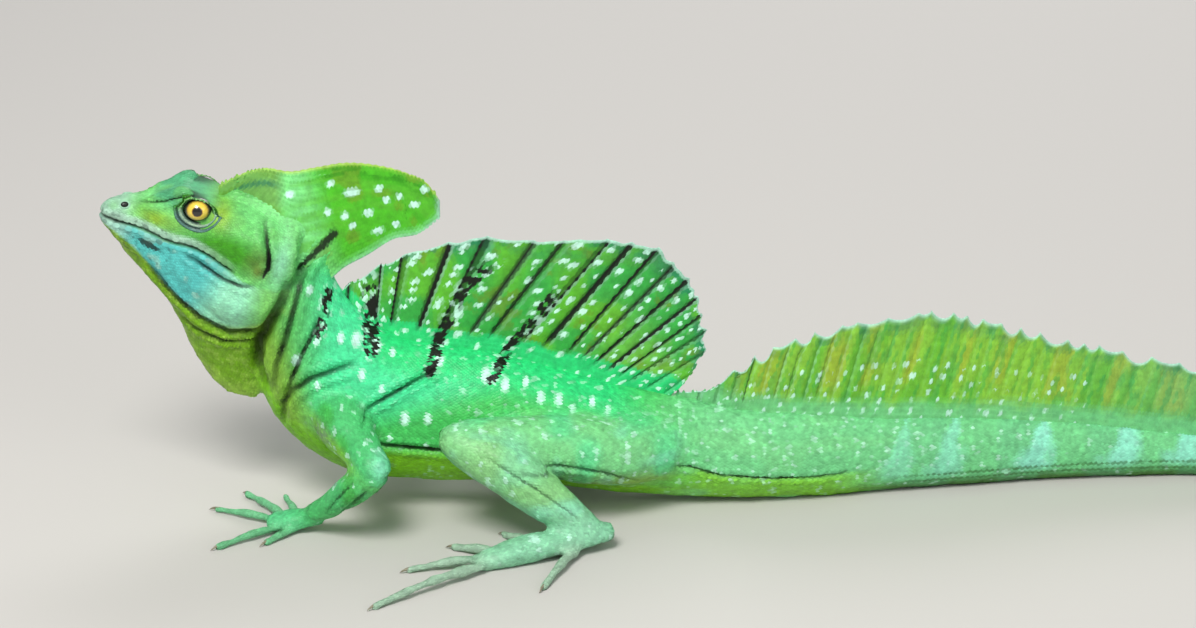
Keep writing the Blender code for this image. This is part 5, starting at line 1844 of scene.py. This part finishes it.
def make_tail_crest(finish):
    """The crest along the tail, with fine rays that fade towards its end, painted shade in the furrows and a
    painted highlight beside them, and an uneven toothed edge.
    """
    first, last = TAIL_CREST[0][0], TAIL_CREST[-1][0]
    columns, rows = 560, 38
    root_x = np.linspace(first, last, columns)
    root_z, side = back_line(root_x).T
    height = curve(TAIL_CREST, root_x)[None]
    share = np.linspace(0, 1, rows)[:, None] + 0 * height
    band = ((root_x - first) / TAIL_RAY_SPACING)[None] + 0 * share
    number, part = rays_over(band, 8)
    draw = np.random.default_rng(12)
    teeth = first + np.cumsum(draw.uniform(4.2, 10.5, 70))
    deep = draw.uniform(1.0, 3.9, 71)
    which = np.searchsorted(teeth, root_x)
    begin = np.concatenate([[first], teeth])[which]
    within = (root_x - begin) / (np.concatenate([teeth, [last]])[which] - begin)
    notch = np.sin(np.clip(within, 0, 1) * math.pi) ** 0.75
    notch = (deep[which] * notch * np.minimum(1, height[0] / 14))[None]
    rise = share * height - notch * smooth(0.72, 1, share)
    z = root_z[None] - CREST_ROOT_SINK * (1 - share) + rise
    x = root_x[None] + TAIL_RAY_LEAN * share * height
    strength = np.interp(root_x, (12, 20, 62, 75, 150, 300), (0.2, 1.0, 0.9, 0.35, 0.25, 0.0))[None]
    strength = strength * draw.uniform(0.35, 1.0, int(number.max()) + 1)[number]
    panel = np.sin(part * math.pi) ** 0.6
    root = np.maximum(0, 1 - share / 0.35) ** 1.5
    wide = np.maximum(0, np.minimum(CREST_ROOT_HALF, 0.2 * root_z) - 0.8)[None]
    fading = smooth(0.15, 0.35, share) * np.minimum(1, height / 15)
    half = 0.34 + 0.16 * panel * fading + wide * root
    sway = np.interp(x, root_x, side) + 0.7 * (panel - 0.5) * (0.35 + strength) * fading
    middle = np.stack([x, sway, z], axis=-1)
    points = middle.reshape(-1, 3)
    high, inside = share.ravel(), part.ravel()
    lean = np.stack([points[:, 0] - TAIL_RAY_LEAN * points[:, 2], 0 * high, points[:, 2] * 0.16], axis=1)
    over = (z - root_z[None]).ravel() + 1.2 * noise(points, 5, 44)
    strong = strength.ravel() * smooth(0.15, 0.3, high)
    # Painted shade in the furrows at the rays.
    furrow_shade = np.maximum(bump(inside, 0.1), bump(1 - inside, 0.07)) * strong**1.6
    spots = spots_in_bands(number, part, share / 0.62, 9, 4, 0.17, 0.045) * (share < 0.66) * (root_x < 150)
    tint = painted(
        all_over(TAIL_CREST_GREEN, points),
        (SAIL_LOW, 0.7 * smooth(0.0, 0.6, noise(lean, 4.5, 41))),
        (CREST_ORANGE, 0.55 * smooth(0.0, 0.6, noise(lean, 3.6, 42)) * smooth(0.25, 0.45, high)),
        (SAIL_GREEN, 0.55 * smooth(0.0, 0.7, noise(lean, 1.1, 43))),
        (SAIL_GREEN, 0.6 * (1 - smooth(24, 42, points[:, 0]))),
        (TAIL_BAND, 0.7 * smooth(130, 240, points[:, 0])),
        (TAIL_SIDE, 0.9 * (1 - smooth(1.5, 7, over))),
        # Painted highlight beside each ray, and painted shade in its furrow.
        (CREST_EDGE, 0.3 * bump(inside - 0.2, 0.07) * strong),
        (FURROW_SHADE, 0.85 * furrow_shade),
        (SPOT, 0.8 * spots.ravel()),
        # Dark teal under the toothed edge: partly a teal tint, partly painted shade between the teeth.
        (CREST_TEAL, 0.5 * smooth(0.8, 0.95, high) * smooth(-0.5, 0.5, noise(points, 3, 45))),
        (CREST_EDGE, 0.75 * smooth(0.965, 0.99, high)),
    )
    return crest_piece("tail_crest", middle, half, tint, finish, *TAIL_CREST_NODES)


def make_casque(finish):
    """The head's crest as a thin flap, pale spotted, over the core that the skin takes in."""
    middle, half = casque_sheet(120, 60)
    points = middle.reshape(-1, 3)
    x, z = points[:, 0], points[:, 2]
    top, low = curve(CASQUE_TOP, x), curve(CASQUE_LOW, x)
    streaked = np.stack([x * 0.18, 0 * x, top - z], axis=1)
    band = bump(top - z - 3.0 - 1.2 * noise(points, 9, 52), 2.2) * smooth(-112, -104, x)
    band = band * smooth(-0.3, 0.4, noise(streaked, 0.9, 53))
    lobe = (1 - smooth(-121, -116, x)) * smooth(0, 1, top - z)
    teal = bump(top - z - 4.8, 1.0) * (1 - smooth(-122, -117, x)) * smooth(-137, -133, x)
    pale = np.zeros(len(points))
    for place_x, place_z, long in CASQUE_SPOTS:
        gap = np.hypot((x - place_x) / long, (z - place_z - 0.12 * (x - place_x)) / 1.35)
        pale = np.maximum(pale, 1 - smooth(0.55, 1.15, gap))
    rim = np.maximum(bump(z - low, 0.7) * smooth(-110, -106, x), bump(x + 66.2, 1.1))
    tint = painted(
        all_over(TEMPLE, points),
        (CASQUE_GREEN, smooth(-112, -100, x + 0.25 * (z - 105))),
        (SAIL_LOW, 0.6 * smooth(-0.2, 0.6, noise(streaked, 2.2, 51))),
        (CREST_OLIVE, 0.55 * smooth(0.1, 0.5, noise(points, 5, 54)) * smooth(-112, -100, x)),
        (CASQUE_GREEN * (0.3, 0.55, 0.3), 0.75 * band),
        (CREST_OLIVE, 0.6 * lobe),
        (CREST_TEAL, 0.7 * teal),
        (SPOT, 0.95 * pale),
        (TEMPLE, 0.8 * smooth(4.0, 1.0, z - low) * smooth(-118, -90, x)),
        # Painted shade in the groove under the head crest.
        (BLACK, 0.95 * casque_groove_shade(points)),
        (POUCH_EDGE, 0.8 * bump(top - z, 0.9)),
        (CREST_EDGE, 0.8 * rim),
    )
    return crest_piece("casque_flap", middle, half, tint, finish, "casque")


def eye_finish():
    """A golden iris with fine streaks round a dark pupil, wet all over."""
    material, tree, shader = new_material("golden_eye")
    gaze = add_node(tree, "ShaderNodeUVMap", uv_map="gaze").outputs["UV"]
    parts = add_node(tree, "ShaderNodeSeparateXYZ", [(gaze, "Vector")])
    stretch = add_node(tree, "ShaderNodeMapping", [(gaze, "Vector")], {"Scale": (46, 4, 1)})
    stretched = stretch.outputs["Vector"]
    streaks = add_node(tree, "ShaderNodeTexNoise", [(stretched, "Vector")], {"Scale": 1.0, "Detail": 4})
    links = [(streaks.outputs["Fac"], 0), (parts.outputs["Y"], 2)]
    shift = add_node(tree, "ShaderNodeMath", links, {1: 0.05}, operation="MULTIPLY_ADD")
    ramp = add_node(tree, "ShaderNodeValToRGB", [(shift.outputs["Value"], "Fac")])
    elements = ramp.color_ramp.elements
    for number, (position, value) in enumerate((IRIS_STOPS[0], IRIS_STOPS[-1])):
        elements[number].position, elements[number].color = position, (*value, 1)
    for position, value in IRIS_STOPS[1:-1]:
        elements.new(position).color = (*value, 1)
    tree.links.new(ramp.outputs["Color"], shader.inputs["Base Color"])
    shader.inputs["Roughness"].default_value = 0.3
    shader.inputs["Coat Weight"].default_value = 1.0
    shader.inputs["Coat Roughness"].default_value = 0.03
    return material


def make_eye(name, hand, finish):
    """One eyeball with a bulged cornea, and its place round and away from the gaze as its UV."""
    rounds, rings = 56, 40
    away = np.linspace(0, math.pi, rings + 1)[1:-1]
    turn = round_angles(rounds)
    radius = (EYE_RADIUS - 0.02 + 0.25 * bump(away, 0.55)) * (1 - 0.15 * smooth(1.2, 1.6, away))
    gaze = unit(np.array((0.0, hand * 1.0, 0.1)))
    across = unit(np.cross(gaze, (0, 0, 1)))
    above = np.cross(across, gaze) * EYE_FLATTENING
    centre = from_head(*EYE_PLACE, hand * EYE_SIDE)
    ring = np.cos(turn)[None, :, None] * across + np.sin(turn)[None, :, None] * above
    rays = np.cos(away)[:, None, None] * gaze + np.sin(away)[:, None, None] * ring
    points = centre + radius[:, None, None] * rays
    ends = np.array([centre + gaze * (EYE_RADIUS + 0.23), centre - gaze * EYE_RADIUS * 0.85])
    points = np.concatenate([points.reshape(-1, 3), ends])
    piece = mesh_object(name.replace("eye", "eyeball"), world(points), grid_faces(rings - 1, rounds))
    found = points_of(piece.data) - centre
    corners = read_all(piece.data.loops, "vertex_index", 1, np.int64)[:, 0]
    angle = np.arccos(np.clip(unit(found) @ gaze, -1, 1)) / math.pi
    around = np.arctan2(found @ above, found @ across) / (2 * math.pi) % 1
    layer = piece.data.uv_layers.new(name="gaze")
    layer.data.foreach_set("uv", np.stack([around, angle * 1.5], axis=1)[corners].ravel())
    piece.data.materials.append(finish)
    return ride(piece, "eye", name)


def make_lids(surface, finish):
    """The lids round both eyes: folds that run from the eyeball out onto the skin, with painted light on
    their ridges and painted shade between them, where they meet the eyeball and in the fold above the eye.
    """
    rounds, steps = 72, 24
    turn = round_angles(rounds)[None]
    part = np.linspace(0, 1, steps)[:, None, None]
    wide, tall = 4.65 + 0.2 * np.maximum(0, -np.cos(turn)) ** 6, 3.85
    above = np.sin(turn) > 0
    reach = np.where(above, 2.4, 4.2)
    found = []
    for name, hand in (("left", 1), ("right", -1)):
        ahead, up = wide * np.cos(turn), tall * np.sin(turn)
        ball = (EYE_RADIUS + 0.12) ** 2 - ahead**2 - (up / EYE_FLATTENING) ** 2
        ball = EYE_SIDE + np.sqrt(np.maximum(0.1, ball))
        inner = from_head(EYE_PLACE[0] + ahead, EYE_PLACE[1] + up, hand * ball)
        out_ahead = EYE_PLACE[0] + (wide + reach) * np.cos(turn)
        out_up = np.minimum(EYE_PLACE[1] + (tall + reach) * np.sin(turn), curve(BROW, out_ahead[0]) + 0.4)
        outer, corner = surface.nearest(from_head(out_ahead, out_up, hand * 12.0)[0])
        facing = surface.normals[corner]
        away = from_head(np.cos(turn), np.sin(turn), 0) - from_head(0, 0, 0)
        second = inner + away * 0.5 + (0, hand * 0.85, 0)
        third, fourth = outer + facing * 0.55, outer - facing * 0.45
        grid = inner * (1 - part) ** 3 + 3 * second * part * (1 - part) ** 2
        grid = grid + 3 * third[None] * part**2 * (1 - part) + fourth[None] * part**3
        rings = np.sin(part * math.pi * 7 + 0.5 * np.sin(3 * turn[..., None])) * np.sin(part * math.pi)
        grid = grid + rings * np.array((0, hand * 0.34, 0))
        low = smooth(0.3, -0.4, np.sin(turn) - 0.15 * np.cos(turn))[..., None]
        shade = CHEEK_GREEN + (LID_BLUE - CHEEK_GREEN) * low
        # Painted light and shade: lighter on the ridges of the lid's folds and darker between them.
        shade = shade * (0.85 + 0.5 * rings)
        shade = shade + (LID_PALE - shade) * bump(part - 0.3, 0.07) * (0.7 - 0.2 * above[..., None])
        # Painted shade where the lid meets the eyeball, and in the fold above the eye.
        shade = shade + (FURROW_SHADE * 0.5 - shade) * (1 - smooth(0.08, 0.2, part))
        shade = shade + (FURROW_SHADE - shade) * 0.7 * bump(part - 0.6, 0.12) * above[..., None]
        shade = shade + (surface.tint[corner][None] - shade) * smooth(0.68, 0.98, part)
        back = grid.copy()
        back[..., 1] -= hand * 0.7
        both = np.concatenate([grid, back[::-1]], axis=0)
        row = np.arange(len(both))
        here = row[:, None] * rounds + np.arange(rounds)[None]
        beside = row[:, None] * rounds + (np.arange(rounds) + 1)[None] % rounds
        below, next_corner = np.roll(here, -1, 0), np.roll(beside, -1, 0)
        faces = np.stack([here, beside, next_corner, below], axis=-1).reshape(-1, 4).tolist()
        piece = mesh_object("lids_" + name, world(both.reshape(-1, 3)), faces)
        tint = np.concatenate([shade, shade[::-1]], axis=0).reshape(-1, 3)
        ride(coloured(piece, tint, finish), "face", "head")
        found.append((grid, shade, hand))
    return found


def lid_roots(lids, roots, tree):
    """Roots of the tiny scales on the lids."""
    columns = {"point": [], "facing": [], "lie": [], "tint": [], "size": []}
    for grid, shade, hand in lids:
        for row in range(5, len(grid) - 1, 3):
            chosen = np.arange((row // 3) % 2, grid.shape[1], 2 if row > 8 else 3)
            along = grid[row, (chosen + 1) % grid.shape[1]] - grid[row, chosen]
            out = grid[row + 1, chosen] - grid[row, chosen]
            facing = unit(np.cross(along, out))
            facing *= np.sign(facing[:, 1:2]) * hand
            columns["point"].append(grid[row, chosen])
            columns["facing"].append(facing)
            columns["lie"].append(unit(out))
            # The lid's colour, with its painted light and shade.
            columns["tint"].append(shade[row, chosen])
            columns["size"].append(all_over(LID_SCALE_SIZE, chosen))
    found = {name: np.concatenate(values) for name, values in columns.items()}
    found["place"] = place_on_unwrap(found["point"], roots, tree)
    return found


def make_nostrils(surface, finish):
    """A raised, pale ring on each side of the snout, with its hole painted dark as the shade in it."""
    turn = round_angles(28)
    for name, hand in (("left", 1), ("right", -1)):
        centre, corner = surface.nearest(from_head(*NOSTRIL_PLACE, hand * 5.4)[None])
        facing = unit(surface.normals[corner[0]] + (0, hand * 0.4, 0))
        across = unit(np.cross(facing, (0, 0, 1)))
        above = np.cross(across, facing)
        ring = np.cos(turn)[:, None] * across * 1.12 + np.sin(turn)[:, None] * above * 0.9
        grid = [centre[0] + ring * radius + facing * height for radius, height in NOSTRIL_PROFILE]
        piece = tube_object("nostril_" + name, np.stack(grid))
        # Painted shade: the inner rings stand for the nostril's hole and are painted dark.
        shade = [
            SNOUT if radius > 1.2 or height < -0.6 else BLACK * 0.5
            for radius, height in NOSTRIL_PROFILE
        ]
        tint = np.concatenate([np.repeat(np.array(shade), len(turn), axis=0), [SNOUT, BLACK * 0.5]])
        ride(coloured(piece, tint, finish), "face", "head")


def claw_finish():
    """Horn, grey-brown and streaked."""
    material, tree, shader = new_material("claw_horn")
    place = add_node(tree, "ShaderNodeTexCoord").outputs["Object"]
    grain = add_node(tree, "ShaderNodeTexNoise", [(place, "Vector")], {"Scale": 900})
    ramp = add_node(tree, "ShaderNodeValToRGB", [(grain.outputs["Fac"], "Fac")])
    ramp.color_ramp.elements[0].color = (0.10, 0.085, 0.05, 1)
    ramp.color_ramp.elements[1].color = (0.36, 0.34, 0.24, 1)
    tree.links.new(ramp.outputs["Color"], shader.inputs["Base Color"])
    shader.inputs["Roughness"].default_value = 0.35
    return material


def make_claws(claws, finish):
    """All claws as one piece of curved, pointed cones."""
    points, faces = [], []
    rings, rounds = 8, 10
    for tip, way, radius in claws:
        base = len(points)
        across = np.array((-way[1], way[0], 0.0))
        for ring in range(rings):
            share = ring / rings
            reach = -1.4 + share * (CLAW_LENGTH + 1.4)
            high = radius * 0.95 + 0.4 * math.sin(share * math.pi) - share**2 * (radius * 0.95 - 0.3)
            wide = 0.62 * radius * (1 - share) ** 0.7 + 0.05
            centre = np.array((*(tip + way * reach), high))
            for angle in round_angles(rounds):
                offset = across * math.cos(angle) * wide * 0.8 + np.array((0, 0, math.sin(angle) * wide))
                point = centre + offset
                point[2] = max(point[2], 0.05)
                points.append(point)
        points.append(np.array((*(tip - way * 1.5), radius * 0.95)))
        points.append(np.array((*(tip + way * CLAW_LENGTH), 0.25)))
        faces += [[base + corner for corner in face] for face in grid_faces(rings, rounds)]
    piece = mesh_object("claws", world(np.array(points)), faces)
    piece.data.materials.append(finish)
    return ride(piece, "skin", "left_hand", "right_hand", "left_foot", "right_foot")


def make_floor():
    """A plain pale floor, far wider than any view."""
    reach = 6.0
    corners = [(-reach, -reach, 0), (reach, -reach, 0), (reach, reach, 0), (-reach, reach, 0)]
    piece = mesh_object("floor", corners, [(0, 1, 2, 3)])
    material, _, shader = new_material("pale_floor")
    shader.inputs["Base Color"].default_value = (0.57, 0.555, 0.53, 1)
    shader.inputs["Roughness"].default_value = 0.9
    piece.data.materials.append(material)


def add_light(name, place, size, power, tone=(1, 1, 1)):
    """A soft square light that looks at the animal."""
    light = bpy.data.lights.new(name, "AREA")
    light.size = size
    light.energy = power
    light.color = tone
    lamp = add_object(name, light)
    lamp.location = place
    aim = Vector(LIGHT_TARGET) - Vector(place)
    lamp.rotation_euler = aim.to_track_quat("-Z", "Y").to_euler()


def make_studio():
    """The floor, three soft lights, a pale surround and the camera at the photo's angle."""
    make_floor()
    add_light("key", (-0.5, -0.75, 1.15), 0.5, 16.5, (1.0, 0.98, 0.95))
    add_light("fill", (0.8, -1.1, 0.7), 1.0, 4.4)
    add_light("rim", (0.1, 1.0, 0.9), 0.8, 7)
    surround = bpy.data.worlds.new("studio")
    surround.use_nodes = True
    sky = surround.node_tree.nodes["Background"]
    sky.inputs["Color"].default_value = (0.97, 0.98, 1.0, 1)
    sky.inputs["Strength"].default_value = 0.35
    bpy.context.scene.world = surround
    bpy.context.scene.view_settings.view_transform = "Standard"
    target = Vector(world(np.array(VIEW_TARGET)).tolist())
    camera = add_object("camera", bpy.data.cameras.new("camera"))
    backwards = Vector((0, -math.cos(VIEW_ELEVATION), math.sin(VIEW_ELEVATION)))
    camera.location = target + VIEW_DISTANCE * backwards
    camera.rotation_euler = (math.pi / 2 - VIEW_ELEVATION, 0, 0)
    camera.data.sensor_width = SENSOR_WIDTH
    camera.data.lens = SENSOR_WIDTH * VIEW_DISTANCE / VIEW_WIDTH
    camera.data.clip_start = 0.01
    bpy.context.scene.camera = camera


def main():
    """The studio, then the animal: its skin, scales, crests, eyes, lids, nostrils and claws."""
    make_studio()
    forms, claws = body_forms()
    skin, lookup = make_skin(forms)
    spots = spot_centres()
    spot_tree = point_tree(spots[:, :3])
    points = points_of(skin.data)
    kinds = lookup.kinds[lookup.find(points)]
    share = share_of_kinds(kinds, edges_of(skin.data), COLOUR_ROUNDS)
    tint = marked(points, ground_tint(points, share), share, spots, spot_tree)
    skin_finish = fine_skin_finish("skin_between_scales", 0.6, 0.9, 0.25)
    scale_finish = fine_skin_finish("scale_horn", 0.45, 0.6, 0.05, coat=0.12)
    crest_finish = fine_skin_finish("crest_membrane", 0.5, 0.9, 0.2, coat=0.1)
    lid_finish = fine_skin_finish("lid_skin", 0.42, 0.5, 0.15, coat=0.2)
    skin.data.materials.clear()
    coloured(skin, tint * BETWEEN_SCALES, skin_finish)
    limbs = [f"{side}_{part}" for side in ("left", "right") for part in LIMB_NODES]
    ride(skin, "skin", *SKIN_NODES, *limbs)
    surface = Surface(skin, share, tint)
    roots = make_roots(forms, skin, surface, spots, spot_tree)
    near = point_tree(roots["point"])
    tree, scale, plate = coat_tree(), scale_shape(), plate_shape()
    dress_with_scales(roots, scale, scale_finish, tree)
    lips = lip_roots(surface, roots, near)
    ride(make_coat("lip_plates", lips, plate, scale_finish, tree, 21, (0.8, 1.1)), "face", "head")
    sheets = [make(crest_finish) for make in (make_sail, make_tail_crest, make_casque)]
    for number, (sheet, (name, steps, size, edge, nodes)) in enumerate(zip(sheets, CREST_COATS)):
        flat = crest_roots(*sheet, steps, size, roots, near)
        ride(make_coat(name + "_scales", flat, scale, scale_finish, tree, 30 + number), "crest", *nodes)
        points = edge_roots(sheet[0][-1], EDGE_SPACING, EDGE_SIZE, edge, roots, near)
        ride(make_coat(name + "_edge", points, scale, scale_finish, tree, 40 + number), "crest", *nodes)
    iris = eye_finish()
    make_eye("eye_left", 1, iris)
    make_eye("eye_right", -1, iris)
    lids = make_lids(surface, lid_finish)
    ride(make_coat("lid_scales", lid_roots(lids, roots, near), scale, lid_finish, tree, 22), "face", "head")
    make_nostrils(surface, lid_finish)
    make_claws(claws, claw_finish())


main()
